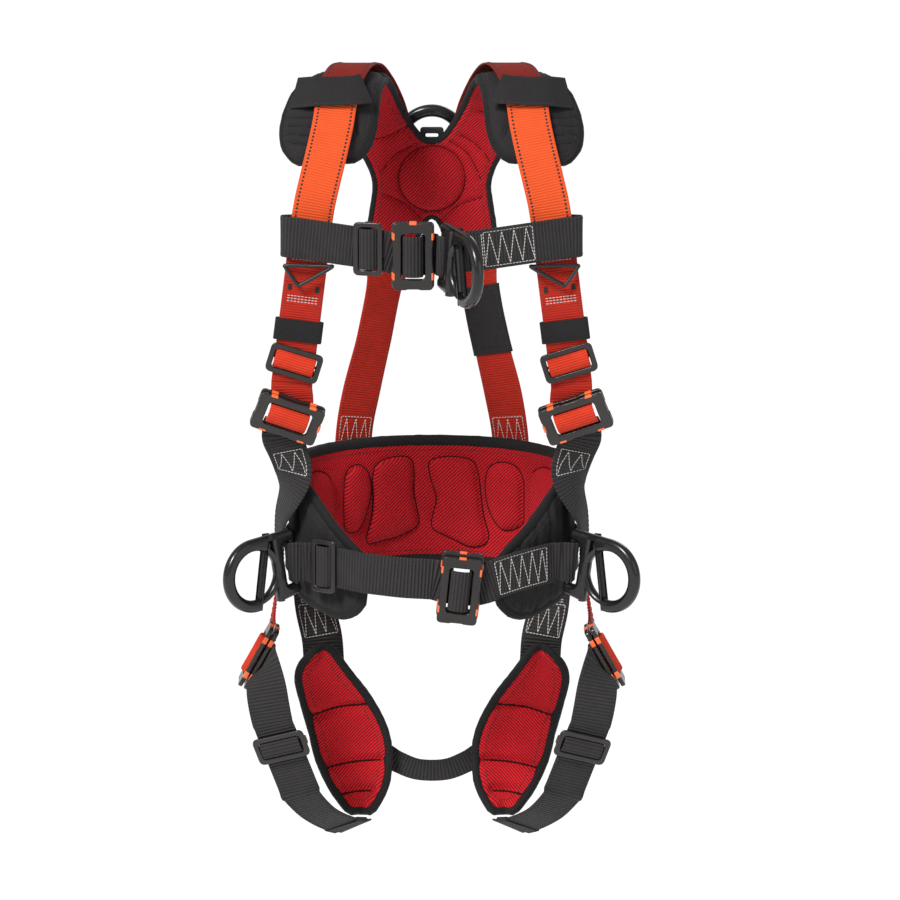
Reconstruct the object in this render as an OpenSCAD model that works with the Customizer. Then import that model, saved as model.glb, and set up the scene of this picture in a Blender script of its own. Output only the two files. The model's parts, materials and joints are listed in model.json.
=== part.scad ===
// Full-body climbing and work-positioning harness, laid out as it hangs on a torso.
// The wearer faces -Y, the wearer's right is -X, +Z is up. Millimetres.
// The origin is the centre of the waist, level with the belt.

/* [Webbing] */
// Width of the main webbing
web_w = 45; // [44:0.5:46]
// Thickness of the main webbing
web_t = 2.4; // [2:0.1:2.6]
// Width of the elastic strap keepers, along the strap
keeper_w = 24; // [16:1:28]

/* [Pads] */
// Thickness of the waist pad
waist_pad_t = 16; // [12:1:17]
// Thickness of the yoke and shoulder pads
yoke_pad_t = 14; // [10:1:14]
// Thickness of the thigh pads
leg_pad_t = 14; // [10:1:16]
// Radius of the round boss on the yoke pad
boss_r = 36; // [28:1:38]

/* [D-rings] */
// Radius of the connection eye
eye_r = 27.5; // [26:0.5:29]
// Radial width of the forged ring round the eye
rim_w = 13.5; // [11:0.5:14]
// Thickness of the forged ring
ring_t = 12; // [10:0.5:13]
// Radius of the webbing bar
bar_r = 4; // [3.5:0.1:4]

/* [Buckles] */
// Length of a buckle plate, across the webbing
plate_l = 74; // [72:1:76]
// Width of a buckle plate, along the webbing
plate_w = 44; // [42:1:46]
// Thickness of a buckle plate
plate_t = 4.6; // [4:0.1:5]
// Length of a slide adjuster, across the webbing
glide_l = 59; // [58:0.5:62]
// Width of a slide adjuster, along the webbing
glide_w = 33; // [30:1:36]

/* [Hidden] */

webbing_black = [0.16, 0.15, 0.16];
webbing_red = [0.72, 0.14, 0.12];
webbing_orange = [0.92, 0.33, 0.18];
mesh_red = [0.7, 0.08, 0.1];
fabric_black = [0.11, 0.1, 0.11];
metal_black = [0.08, 0.08, 0.08];

// Half ellipse sizes of the waist pad's middle surface
waist_a = 150;
waist_b = 115;
// Gap between the pad and the belt's middle surface
belt_gap = waist_pad_t / 2 + web_t / 2 + 0.8;
// Shape of a D-ring, measured from the bar's axis
eye_x = 54;
slot_x = 13;
slot_w = 49;
arm_h = 37;
// Yoke pad's bend over the shoulders, in the side plane
yoke_y = 114;
yoke_z = 411;
yoke_r = 104;
// How far the front buckle plate and the back plate stand in front of the webbing
back_plate_y = 4.4;
front_plate_y = 11.4;

// Unit vectors, parts of a route's row, turns about the axes, and a catmull curve
function unit(v) = v / norm(v);
function place(row) = [row[0], row[1], row[2]];
function width_way(row) = [row[3], row[4], row[5]];
function turn_x(v, a) = [v[0], v[1] * cos(a) - v[2] * sin(a), v[1] * sin(a) + v[2] * cos(a)];
function turn_y(v, a) = [v[0] * cos(a) + v[2] * sin(a), v[1], v[2] * cos(a) - v[0] * sin(a)];
function turn_z(v, a) = [v[0] * cos(a) - v[1] * sin(a), v[0] * sin(a) + v[1] * cos(a), v[2]];
function catmull(a, b, c, d, t) =
    0.5 * (2 * b + (c - a) * t + (2 * a - 5 * b + 4 * c - d) * t * t + (3 * b - a - 3 * c + d) * t * t * t);
function smooth(rows, steps) = [
    for (i = [0 : len(rows) - 2])
        for (s = [0 : steps - 1])
            catmull(rows[max(i - 1, 0)], rows[i], rows[i + 1], rows[min(i + 2, len(rows) - 1)], s / steps),
    rows[len(rows) - 1]
];
function backwards(rows) = [for (i = [len(rows) - 1 : -1 : 0]) rows[i]];
function mirrored(rows) = [for (r = rows) [-r[0], r[1], r[2], -r[3], r[4], r[5]]];

// Places of the buckles: a point in the webbing's plane, then the turn of a plate that is
// drawn with its webbing along X, its bar along Z and its face to -Y
chest_base = [-20, -120.5, 343];
chest_frame = function(v) v;
waist_base = [31, -124.5, -22];
waist_tilt = 6;
waist_frame = function(v) turn_y(v, waist_tilt);
torso_base = [-157, -80, 158];
torso_pitch = 14;
torso_slant = 110;
torso_frame = function(v) turn_x(turn_y(v, torso_slant), torso_pitch);
leg_base = [-183, -47, -123];
leg_lean = 29;
leg_frame = function(v) turn_y(turn_z(v, -90), leg_lean);

// Webbing that passes behind a back plate's rail and turns into its window, from outside in.
// side is the plate's side that it comes from, skew how far it is shifted across there.
hook_line = [[30, 0.6], [23, 0.6], [17, 0.5], [12.5, -0.6], [9.5, -3.2]];
function hook(base, frame, side, skew) = [
    for (h = hook_line)
        let (p = base + frame([side * h[0], h[1], skew * max(0, h[0] - 17) / 13]))
        concat(p, frame([0, 0, 1]))
];

// Places and turns of the D-rings' bars
hip_bar = [-152, -66, -9];
hip_turn = 218;
hip_droop = 10;
sternal_bar = [13, -129, 344];
sternal_turn = -65;
sternal_droop = 8;
dorsal_bar = [0, 142, 367];
// How far the standing dorsal ring leans towards the yoke
dorsal_lean = 3.5;
hip_up = turn_z(turn_y([0, 0, 1], hip_droop), hip_turn);
sternal_up = turn_z(turn_y([0, 0, 1], sternal_droop), sternal_turn);

// Webbing that threads a D-ring's slot and passes over its bar: along the strap, then inwards
bar_wrap = [[-15, 8], [-9.5, 5], [-6.6, -1.4], [0, -6.8], [6.6, -1.4], [9.5, 5], [15, 8]];
function over_bar(bar, out, up) = [
    for (w = bar_wrap)
        concat(bar - w[0] * cross([0, 0, 1], out) - w[1] * out, up)
];

// Webbing routes of the wearer's right side. Each row is a point and the direction
// of the webbing's width there.
shoulder_route = [
    [-27, 123.3, 392, 0.88, 0, -0.45], [-36, 123.6, 416, 0.9, 0, -0.4],
    [-45, 121.5, 441, 1, 0, 0], [-53, 112, 469, 1, 0, 0], [-65, 86, 500, 1, 0, 0],
    [-76, 50, 521, 1, 0, 0], [-86, 10, 528, 1, 0, 0],
    [-96, -20, 520, 1, 0, 0], [-103, -44, 499, 1, 0, 0],
    [-107, -60, 476, 1, 0, 0], [-113, -73, 450, 1, 0, 0.1],
    [-120, -80, 422, 1, 0, 0.1], [-127, -85, 392, 1, 0, 0.1],
    [-132, -87, 360, 1, 0, 0.1]
];
torso_route = concat([
    [-133, -87, 355, 1, 0, 0.1], [-136, -87, 325, 1, 0, 0],
    [-138.4, -87, 305, 1, 0, -0.14], [-139.5, -87, 296, 1, 0, -0.14],
    [-151, -87, 204, 1, 0, -0.14], [-152, -86.4, 196, 1, 0, -0.2]
], hook(torso_base, torso_frame, -1, -6));
side_route = concat(backwards(hook(torso_base, torso_frame, 1, 5)), [
    [-156, -66, 110, 1, -0.1, -0.2], [-152, -58, 90, 0.9, -0.3, -0.1],
    [-157, -45, 62, 0.5, -0.8, 0], [-166, -30, 30, 0.25, -1, 0],
    [-167.5, -27, -14, 0.2, -1, 0]
]);
back_route = [
    [-41, 123.5, 330, 1, 0, 0.1], [-46, 123.5, 300, 1, 0, 0.1],
    [-48.5, 123.5, 286, 1, 0.05, 0.1], [-53, 117, 260, 0.85, 0.5, 0],
    [-64, 110, 205, 0.85, 0.5, 0], [-78, 110, 145, 0.92, 0.38, 0],
    [-86, 111, 100, 0.9, 0.44, 0], [-88, 111, 60, 0.88, 0.47, 0],
    [-88, 111, 30, 0.88, 0.47, 0]
];
chest_right_route = concat([
    [-118, -78, 357, 0, 0, 1], [-157, -80, 357, 0, 0, 1],
    [-163, -86, 357, 0, 0, 1], [-158, -93, 357, 0, 0, 1],
    [-140, -97.3, 355.8, 0, 0, 1], [-132, -99.3, 355, 0, 0, 1],
    [-66, -116, 348.6, 0, 0, 1]
], hook(chest_base, chest_frame, -1, 4));
chest_left_end = backwards(hook(chest_base, chest_frame, 1, 1));
chest_wrap = backwards(over_bar(sternal_bar, [0.1, -0.995, 0], sternal_up));
chest_left_route = concat(
    [for (i = [0 : 3]) chest_left_end[i]],
    [[6.2, -124.2, 344, 0, 0, 1]],
    [for (i = [2 : 6]) chest_wrap[i]],
    [
        [36, -119, 346, 0, 0, 1], [60, -116, 348, 0, 0, 1], [140, -97, 356, 0, 0, 1],
        [158, -93, 357, 0, 0, 1], [163, -86, 357, 0, 0, 1],
        [157, -80, 357, 0, 0, 1], [118, -78, 357, 0, 0, 1]
    ]
);
belt_right_route = concat(
    backwards(hook(waist_base, waist_frame, -1, 2)),
    [
        [-30, -124, -15, 0, 0, 1], [-54, -121, -13, 0, 0, 1], [-76, -115, -11.5, 0, 0, 1],
        [-84, -109.1, -11, 0, 0, 1], [-124, -79.5, -9.6, 0, 0, 1], [-132, -73.6, -9.3, 0, 0, 1]
    ],
    over_bar(hip_bar, turn_z([1, 0, 0], hip_turn), hip_up)
);
belt_left_route = concat(
    backwards(hook(waist_base, waist_frame, 1, 5)),
    [
        [70, -121, -17, 0, 0, 1], [90, -108, -13, 0, 0, 1], [114, -90, -10, 0, 0, 1],
        [132, -73.6, -9.3, 0, 0, 1]
    ],
    mirrored(over_bar(hip_bar, turn_z([1, 0, 0], hip_turn), hip_up))
);
leg_web_route = [
    [-136, 82, 15, 0.64, 0.77, 0], [-136, 82, -22, 0.64, 0.77, 0],
    [-134, 74, -60, 0.8, 0.5, 0], [-129, 60, -92, 1, 0.2, 0],
    [-122, 49, -120, 1, 0, 0], [-120, 52, -145, 1, 0, 0], [-119, 56.5, -172, 1, 0, 0]
];
leg_side_route = concat([
    [-168, 18, 12, -0.1, -1, 0], [-168, 18, -22, -0.1, -1, 0],
    [-171, 20, -60, 0, -1, 0.1], [-175, 20, -90, 0.1, -1, 0.4],
    [-179, 8, -110, 0.3, -0.5, 0.7]
], hook(leg_base, leg_frame, -1, 0));
leg_route = concat(backwards(hook(leg_base, leg_frame, 1, 0)), [
    [-182, -90, -138, 0.8, -0.1, 0.6], [-179, -97, -160, 0.95, 0, 0.1],
    [-174.5, -93.8, -184, 0.95, 0, -0.34], [-171, -90.9, -194, 0.95, 0, -0.34],
    [-147, -71, -262, 0.95, 0, -0.34], [-142.5, -67.3, -274, 0.95, 0, -0.2],
    [-124, -48, -298, 0.92, -0.2, 0.1], [-100, -24, -316, 0.9, -0.3, 0.3],
    [-84, -4, -323, 0.9, -0.2, 0.35]
]);
subpelvic_w = 24;
subpelvic_route = [
    [-62, 59, -250, 0, 0.3, 1], [-50, 56, -257, 0, 0.35, 1], [-38, 53, -264, 0, 0.4, 1],
    [-15, 50, -272, 0, 0.5, 1], [15, 50, -272, 0, 0.5, 1],
    [38, 53, -264, 0, 0.4, 1], [50, 56, -257, 0, 0.35, 1], [62, 59, -250, 0, 0.3, 1]
];
sleeve_route = [
    [-154, -20, 502, 0, 0.7, 0.7], [-140, -31, 505.5, 0, 0.7, 0.7],
    [-126, -40, 508, 0, 0.7, 0.7], [-104, -42.5, 509, 0, 0.7, 0.7],
    [-82, -42, 510, 0, 0.7, 0.7], [-69, -36, 511, 0, 0.7, 0.7], [-60, -29, 510.5, 0, 0.7, 0.7]
];
// Wire link, from the middle of its top bar round and back
wire_d = 4.4;
triangle_route = [
    [-134, -97.5, 326, 0, 1, 0], [-112, -100, 326, 0, 1, 0], [-110, -100, 324, 0, 1, 0],
    [-141, -98, 306, 0, 1, 0], [-146, -97.5, 306, 0, 1, 0], [-158, -95, 323, 0, 1, 0],
    [-157, -95, 326, 0, 1, 0], [-136, -97.3, 326, 0, 1, 0]
];
// Sewn sleeves, as stretches of the webbing that they cover
label_route = [
    [52.5, 117.6, 262, 0.85, -0.5, 0], [64, 110, 205, 0.85, -0.5, 0], [68, 109.7, 188, 0.85, -0.5, 0]
];
keeper_route = [[-100, -24, -316, 0.9, -0.3, 0.3], [-90, -11.5, -320.5, 0.9, -0.25, 0.33]];

// Webbing swept along a route
module band(route, width = web_w, thick = web_t, steps = 3) {
    rows = smooth(route, steps);
    n = len(rows);
    points = [
        for (i = [0 : n - 1])
            let (
                p = place(rows[i]),
                t = unit(place(rows[min(i + 1, n - 1)]) - place(rows[max(i - 1, 0)])),
                raw = width_way(rows[i]),
                a = unit(raw - (raw * t) * t) * width / 2,
                b = cross(t, unit(a)) * thick / 2
            )
            each [p - a - b, p + a - b, p + a + b, p - a + b]
    ];
    faces = [
        [0, 1, 2], [0, 2, 3],
        for (i = [0 : n - 2])
            for (k = [0 : 3])
                let (a = i * 4 + k, b = i * 4 + (k + 1) % 4)
                each [[b, a, a + 4], [b, a + 4, b + 4]],
        [n * 4 - 2, n * 4 - 3, n * 4 - 4], [n * 4 - 1, n * 4 - 2, n * 4 - 4]
    ];
    polyhedron(points, faces);
}

// A thick curved sheet through a grid of points, rows by columns
module cushion(grid, thick) {
    rows = len(grid);
    cols = len(grid[0]);
    function at(i, j) = grid[max(0, min(rows - 1, i))][max(0, min(cols - 1, j))];
    function out(i, j) = unit(cross(at(i + 1, j) - at(i - 1, j), at(i, j + 1) - at(i, j - 1))) * thick / 2;
    front = [for (i = [0 : rows - 1]) for (j = [0 : cols - 1]) at(i, j) + out(i, j)];
    back = [for (i = [0 : rows - 1]) for (j = [0 : cols - 1]) at(i, j) - out(i, j)];
    m = rows * cols;
    edge = concat(
        [for (j = [0 : cols - 2]) j],
        [for (i = [0 : rows - 2]) i * cols + cols - 1],
        [for (j = [cols - 1 : -1 : 1]) (rows - 1) * cols + j],
        [for (i = [rows - 1 : -1 : 1]) i * cols]
    );
    faces = concat(
        [for (i = [0 : rows - 2]) for (j = [0 : cols - 2])
            let (a = i * cols + j) each [[a, a + 1, a + cols], [a + 1, a + cols + 1, a + cols]]],
        [for (i = [0 : rows - 2]) for (j = [0 : cols - 2])
            let (a = m + i * cols + j) each [[a, a + cols, a + 1], [a + 1, a + cols, a + cols + 1]]],
        [for (k = [0 : len(edge) - 1])
            let (a = edge[k], b = edge[(k + 1) % len(edge)]) each [[b, a, a + m], [b, a + m, b + m]]]
    );
    polyhedron(concat(front, back), faces);
}

module rounded(w, h, r) {
    square([w - 2 * r, h], center = true);
    square([w, h - 2 * r], center = true);
    for (x = [-1, 1])
        for (z = [-1, 1])
            translate([x * (w / 2 - r), z * (h / 2 - r)]) circle(r = r, $fn = 32);
}

// A flat plate whose middle is y in front of the webbing
module upright(thick, y) {
    translate([0, thick / 2 - y, 0]) rotate([90, 0, 0]) linear_extrude(thick) children();
}

// Forged ring with a webbing bar, drawn with the bar on the Z axis and the eye to +X
module forged_ring() {
    difference() {
        upright(ring_t, 0) difference() {
            union() {
                translate([eye_x, 0]) circle(r = eye_r + rim_w, $fn = 64);
                polygon([[-bar_r, -arm_h], [eye_x, -eye_r - rim_w], [eye_x, eye_r + rim_w], [-bar_r, arm_h]]);
            }
            translate([-bar_r - 1, -slot_w / 2]) square([slot_x + bar_r + 1, slot_w]);
        }
        translate([eye_x, 0, 0]) rotate([90, 0, 0]) cylinder(r = eye_r, h = ring_t + 2, center = true, $fn = 64);
    }
    cylinder(r = bar_r, h = slot_w + 6, center = true, $fn = 32);
}

// Slide adjuster: side rails in front of the webbing, middle bar behind it
module glide() {
    upright(3.6, 4) difference() {
        rounded(glide_w, glide_l, 5);
        rounded(glide_w - 12, glide_l - 11, 2);
    }
    for (z = [-1, 1])
        translate([0, 0.6, z * (glide_l / 4 + web_w / 4 + 0.75)])
            cube([10, 6, glide_l / 2 - web_w / 2 - 2], center = true);
    translate([0, 3.6, 0]) cylinder(r = 1.6, h = glide_l - 4, center = true, $fn = 24);
}

// Front plate of a quick buckle, with the bar that its webbing wraps
module front_plate() {
    upright(plate_t, front_plate_y) difference() {
        rounded(plate_w, plate_l, 6);
        rounded(plate_w - 18, plate_l - 24, 3);
    }
    translate([0, -front_plate_y, 0]) cylinder(r = plate_t / 2, h = plate_l - 20, center = true, $fn = 24);
}

// Back plate of a quick buckle, an open frame
module back_plate() {
    upright(plate_t, back_plate_y) difference() {
        rounded(plate_w + 2, plate_l, 6);
        rounded(plate_w - 14, plate_l - 22, 3);
    }
}

// Elastic loop round the webbing
module keeper_loop(width) {
    rotate([0, 90, 0]) linear_extrude(width, center = true) difference() {
        square([web_w + 8, web_t + 6], center = true);
        square([web_w + 3, web_t + 2.4], center = true);
    }
}

module mirror_left() {
    mirror([1, 0, 0]) children();
}

module back_yoke_pad() {
    // Half outline, from the neckline's middle round to the notch
    half = [
        [0, 423], [13, 427], [26, 446], [37, 468], [56, 512], [98, 512], [94, 463], [84, 425],
        [68, 402], [60, 378], [63, 356], [68, 325], [66, 292], [30, 292], [17, 318], [10, 336], [0, 344]
    ];
    left = [for (i = [len(half) - 2 : -1 : 1]) [-half[i][0], half[i][1]]];
    color(mesh_red) {
        intersection() {
            translate([0, 300, 0]) rotate([90, 0, 0]) linear_extrude(400) polygon(concat(half, left));
            union() {
                translate([-120, yoke_y - yoke_pad_t / 2, 280]) cube([240, yoke_pad_t, yoke_z - 280]);
                intersection() {
                    translate([0, yoke_y - yoke_r, yoke_z]) rotate([0, 90, 0]) difference() {
                        cylinder(r = yoke_r + yoke_pad_t / 2, h = 240, center = true, $fn = 96);
                        cylinder(r = yoke_r - yoke_pad_t / 2, h = 242, center = true, $fn = 96);
                    }
                    translate([-120, 42, yoke_z]) cube([240, 100, 120]);
                }
            }
        }
        translate([0, yoke_y, 384]) rotate([90, 0, 0]) cylinder(r = boss_r, h = yoke_pad_t / 2 + 3, $fn = 64);
    }
}

module dorsal_plate() {
    color(metal_black) {
        translate([0, 0, 388]) upright(4.6, -129) difference() {
            union() {
                rounded(54, 84, 10);
                translate([0, 30]) rounded(26, 40, 6);
            }
            translate([0, 41]) rounded(14, 4, 1.9);
        }
        translate(dorsal_bar) rotate([0, 90, 0]) difference() {
            union() {
                cylinder(r = 7, h = 40, center = true, $fn = 32);
                translate([0, -7, 0]) cube([8, 8, 40], center = true);
            }
            cylinder(r = bar_r + 0.5, h = 42, center = true, $fn = 32);
        }
    }
}

module dorsal_ring() {
    color(metal_black) translate(dorsal_bar) rotate([dorsal_lean, 0, 0]) rotate([0, -90, 0]) forged_ring();
}

module right_shoulder_pad() {
    // Middle line of the pad and its half width
    line = [
        [-77, 31, 510, 27], [-90, 8, 516, 38], [-102, -16, 508, 45], [-109, -36, 490, 49],
        [-113, -50, 469, 50], [-116, -60, 450, 44], [-118, -66, 436, 28]
    ];
    rows = smooth(line, 2);
    grid = [for (r = rows) [for (s = [-1 : 0.5 : 1]) [r[0] + s * r[3], r[1] + (s < 0 ? 14 : 4) * s * s, r[2] - 6 * s * s]]];
    color(fabric_black) cushion(grid, yoke_pad_t);
}

module left_shoulder_pad() {
    mirror_left() right_shoulder_pad();
}

module right_shoulder_sleeve() {
    color(fabric_black) band(sleeve_route, 38, 1.6);
}

module left_shoulder_sleeve() {
    mirror_left() right_shoulder_sleeve();
}

module right_shoulder_strap() {
    color(webbing_orange) band(shoulder_route);
}

module left_shoulder_strap() {
    mirror_left() right_shoulder_strap();
}

module right_triangle_ring() {
    color(metal_black) band(triangle_route, wire_d, wire_d, 4);
}

module left_triangle_ring() {
    mirror_left() right_triangle_ring();
}

module right_torso_strap() {
    color(webbing_red) band(torso_route);
}

module left_torso_strap() {
    mirror_left() right_torso_strap();
}

// The straight stretch of the torso strap that the keeper and adjuster slide on
torso_top = place(torso_route[3]);
torso_low = place(torso_route[4]);
torso_way = unit(torso_low - torso_top);
torso_strap_slant = atan2(torso_top[0] - torso_low[0], torso_top[2] - torso_low[2]);
function torso_at(z) = torso_top + (torso_low - torso_top) * (torso_top[2] - z) / (torso_top[2] - torso_low[2]);

module right_torso_keeper() {
    color(fabric_black) translate(torso_at(252.5)) rotate([0, 90 + torso_strap_slant, 0]) keeper_loop(keeper_w);
}

module left_torso_keeper() {
    mirror_left() right_torso_keeper();
}

module right_torso_adjuster() {
    color(metal_black) translate(torso_at(217)) rotate([0, 90 + torso_strap_slant + 10, 0]) glide();
}

module left_torso_adjuster() {
    mirror_left() right_torso_adjuster();
}

module torso_buckle_place() {
    translate(torso_base) rotate([torso_pitch, 0, 0]) rotate([0, torso_slant, 0]) children();
}

module right_torso_buckle_front() {
    color(metal_black) torso_buckle_place() front_plate();
}

module left_torso_buckle_front() {
    mirror_left() right_torso_buckle_front();
}

module right_torso_buckle_back() {
    color(metal_black) torso_buckle_place() back_plate();
}

module left_torso_buckle_back() {
    mirror_left() right_torso_buckle_back();
}

module right_side_strap() {
    color(webbing_black) band(side_route);
}

module left_side_strap() {
    mirror_left() right_side_strap();
}

module right_back_strap() {
    color(webbing_red) band(back_route);
}

module left_back_strap() {
    mirror_left() right_back_strap();
}

module label_sleeve() {
    color(fabric_black) band(label_route, web_w + 4, 5.4);
}

module right_chest_strap() {
    color(webbing_black) band(chest_right_route);
}

module left_chest_strap() {
    color(webbing_black) band(chest_left_route);
}

// Heading of the chest strap's straight stretch
chest_turn = atan2(chest_right_route[6][1] - chest_right_route[5][1],
                   chest_right_route[6][0] - chest_right_route[5][0]);

module chest_adjuster() {
    color(metal_black) translate(place(chest_right_route[6]) + [-2, 0.5, 0.2]) rotate([0, 0, chest_turn]) glide();
}

module chest_buckle_place() {
    translate(chest_base) children();
}

module chest_buckle_front() {
    color(metal_black) chest_buckle_place() front_plate();
}

module chest_buckle_back() {
    color(metal_black) chest_buckle_place() back_plate();
}

module sternal_ring() {
    color(metal_black) translate(sternal_bar) rotate([0, 0, sternal_turn])
        rotate([0, sternal_droop, 0]) forged_ring();
}

// Angle from the back, the height of the top and bottom edges, and how far the pad is set in
waist_edges = [
    [0, 87, -45, 0], [30, 87, -46, 0], [60, 86, -47, 0], [88, 85, -48, 0], [105, 74, -52, 2],
    [120, 50, -60, 7], [133, 24, -66, 9], [142, 8, -62, 9], [148, -4, -48, 9]
];

module waist_pad() {
    half = smooth(waist_edges, 2);
    n = len(half);
    rows = concat([for (i = [n - 1 : -1 : 1]) [-half[i][0], half[i][1], half[i][2], half[i][3]]], half);
    grid = [
        for (r = rows)
            [for (s = [0 : 0.25 : 1])
                [(waist_a - r[3]) * sin(r[0]), (waist_b - r[3]) * cos(r[0]), r[2] + s * (r[1] - r[2])]]
    ];
    color(mesh_red) cushion(grid, waist_pad_t);
}

module belt_back() {
    route = [
        for (a = [-104 : 8 : 104])
            [(waist_a + belt_gap) * sin(a), (waist_b + belt_gap) * cos(a), -8, 0, 0, 1]
    ];
    color(webbing_black) band(route, steps = 1);
}

module right_belt_front() {
    color(webbing_black) band(belt_right_route);
}

module left_belt_front() {
    color(webbing_black) band(belt_left_route);
}

belt_top = place(belt_right_route[8]);
belt_low = place(belt_right_route[9]);
waist_turn = atan2(belt_top[1] - belt_low[1], belt_top[0] - belt_low[0]);

module waist_adjuster() {
    color(metal_black) translate(belt_low + unit(belt_top - belt_low) * 10) rotate([0, 0, waist_turn]) glide();
}

module waist_buckle_place() {
    translate(waist_base) rotate([0, waist_tilt, 0]) children();
}

module waist_buckle_front() {
    color(metal_black) waist_buckle_place() translate([0, 0, -5]) front_plate();
}

module waist_buckle_back() {
    color(metal_black) waist_buckle_place() back_plate();
}

module right_hip_ring() {
    color(metal_black) translate(hip_bar) rotate([0, 0, hip_turn]) rotate([0, hip_droop, 0]) forged_ring();
}

module left_hip_ring() {
    mirror_left() right_hip_ring();
}

module right_leg_web() {
    color(webbing_black) band(leg_web_route);
}

module left_leg_web() {
    mirror_left() right_leg_web();
}

module right_leg_pad() {
    // Left and right edge, depth and height of each row
    outline = [
        [-131, -109, 36, -130], [-149, -92, 42, -156], [-144, -68, 50, -190],
        [-134, -51, 53, -226], [-127, -47, 50, -256], [-112, -51, 40, -288], [-92, -66, 24, -312]
    ];
    rows = smooth(outline, 2);
    grid = [
        for (r = rows)
            [for (s = [-1 : 0.5 : 1])
                [(r[0] + r[1]) / 2 + s * (r[1] - r[0]) / 2, r[2] - 12 * s * s, r[3]]]
    ];
    color(mesh_red) cushion(grid, leg_pad_t);
}

module left_leg_pad() {
    mirror_left() right_leg_pad();
}

module right_leg_side_strap() {
    color(webbing_red) band(leg_side_route);
}

module left_leg_side_strap() {
    mirror_left() right_leg_side_strap();
}

module leg_buckle_place() {
    translate(leg_base) rotate([0, leg_lean, 0]) rotate([0, 0, -90]) children();
}

module right_leg_buckle_front() {
    color(metal_black) leg_buckle_place() front_plate();
}

module left_leg_buckle_front() {
    mirror_left() right_leg_buckle_front();
}

module right_leg_buckle_back() {
    color(metal_black) leg_buckle_place() back_plate();
}

module left_leg_buckle_back() {
    mirror_left() right_leg_buckle_back();
}

module right_leg_strap() {
    color(webbing_black) band(leg_route);
}

module left_leg_strap() {
    mirror_left() right_leg_strap();
}

// The straight stretch of the thigh strap that the adjuster slides on
leg_top = place(leg_route[8]);
leg_low = place(leg_route[9]);
leg_way = unit(leg_low - leg_top);
leg_across = unit(width_way(leg_route[8]) - (width_way(leg_route[8]) * leg_way) * leg_way);
leg_face = cross(leg_across, leg_way);

// Puts a piece on the thigh strap, with its X along the strap and its Z across
module on_leg_strap(p) {
    multmatrix([
        [leg_way[0], leg_face[0], leg_across[0], p[0]],
        [leg_way[1], leg_face[1], leg_across[1], p[1]],
        [leg_way[2], leg_face[2], leg_across[2], p[2]],
        [0, 0, 0, 1]
    ]) children();
}

module right_leg_adjuster() {
    color(metal_black) on_leg_strap(leg_top + leg_way * 20) glide();
}

module left_leg_adjuster() {
    mirror_left() right_leg_adjuster();
}

module right_leg_keeper() {
    color(fabric_black) band(keeper_route, web_w + 3, 5.4);
}

module left_leg_keeper() {
    mirror_left() right_leg_keeper();
}

module subpelvic_strap() {
    color(webbing_black) band(subpelvic_route, subpelvic_w);
}

back_yoke_pad();
dorsal_plate();
dorsal_ring();
right_shoulder_pad();
left_shoulder_pad();
right_shoulder_sleeve();
left_shoulder_sleeve();
right_shoulder_strap();
left_shoulder_strap();
right_triangle_ring();
left_triangle_ring();
right_torso_strap();
left_torso_strap();
right_torso_keeper();
left_torso_keeper();
right_torso_adjuster();
left_torso_adjuster();
right_torso_buckle_front();
left_torso_buckle_front();
right_torso_buckle_back();
left_torso_buckle_back();
right_side_strap();
left_side_strap();
right_back_strap();
left_back_strap();
label_sleeve();
right_chest_strap();
left_chest_strap();
chest_adjuster();
chest_buckle_front();
chest_buckle_back();
sternal_ring();
waist_pad();
belt_back();
right_belt_front();
left_belt_front();
waist_adjuster();
waist_buckle_front();
waist_buckle_back();
right_hip_ring();
left_hip_ring();
right_leg_web();
left_leg_web();
right_leg_pad();
left_leg_pad();
right_leg_side_strap();
left_leg_side_strap();
right_leg_buckle_front();
left_leg_buckle_front();
right_leg_buckle_back();
left_leg_buckle_back();
right_leg_strap();
left_leg_strap();
right_leg_adjuster();
left_leg_adjuster();
right_leg_keeper();
left_leg_keeper();
subpelvic_strap();
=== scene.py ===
import json
import math

import bpy
import numpy as np
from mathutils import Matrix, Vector, geometry


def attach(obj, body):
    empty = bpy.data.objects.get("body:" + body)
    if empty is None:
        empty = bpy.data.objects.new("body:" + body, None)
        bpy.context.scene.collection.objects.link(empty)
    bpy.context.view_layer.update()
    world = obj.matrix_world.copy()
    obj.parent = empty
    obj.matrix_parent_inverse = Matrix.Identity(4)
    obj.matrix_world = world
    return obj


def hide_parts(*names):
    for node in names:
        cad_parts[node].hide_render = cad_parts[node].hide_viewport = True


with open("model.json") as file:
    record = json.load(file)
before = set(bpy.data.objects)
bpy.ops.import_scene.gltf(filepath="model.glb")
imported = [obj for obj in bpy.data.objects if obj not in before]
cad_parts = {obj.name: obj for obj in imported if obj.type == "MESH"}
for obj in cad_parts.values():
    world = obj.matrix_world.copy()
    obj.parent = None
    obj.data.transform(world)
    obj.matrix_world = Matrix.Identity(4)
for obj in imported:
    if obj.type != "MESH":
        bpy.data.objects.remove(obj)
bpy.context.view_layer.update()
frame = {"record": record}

rng = np.random.default_rng(7)

# ---------------------------------------------------------------- helpers (millimetres)


def unit(v):
    return v / np.maximum(np.linalg.norm(v, axis=-1, keepdims=True), 1e-9)


def turn(axis, degrees):
    a = math.radians(degrees)
    c, s = math.cos(a), math.sin(a)
    return np.array({
        "x": [[1, 0, 0], [0, c, -s], [0, s, c]],
        "y": [[c, 0, s], [0, 1, 0], [-s, 0, c]],
        "z": [[c, -s, 0], [s, c, 0], [0, 0, 1]],
    }[axis])


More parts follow.
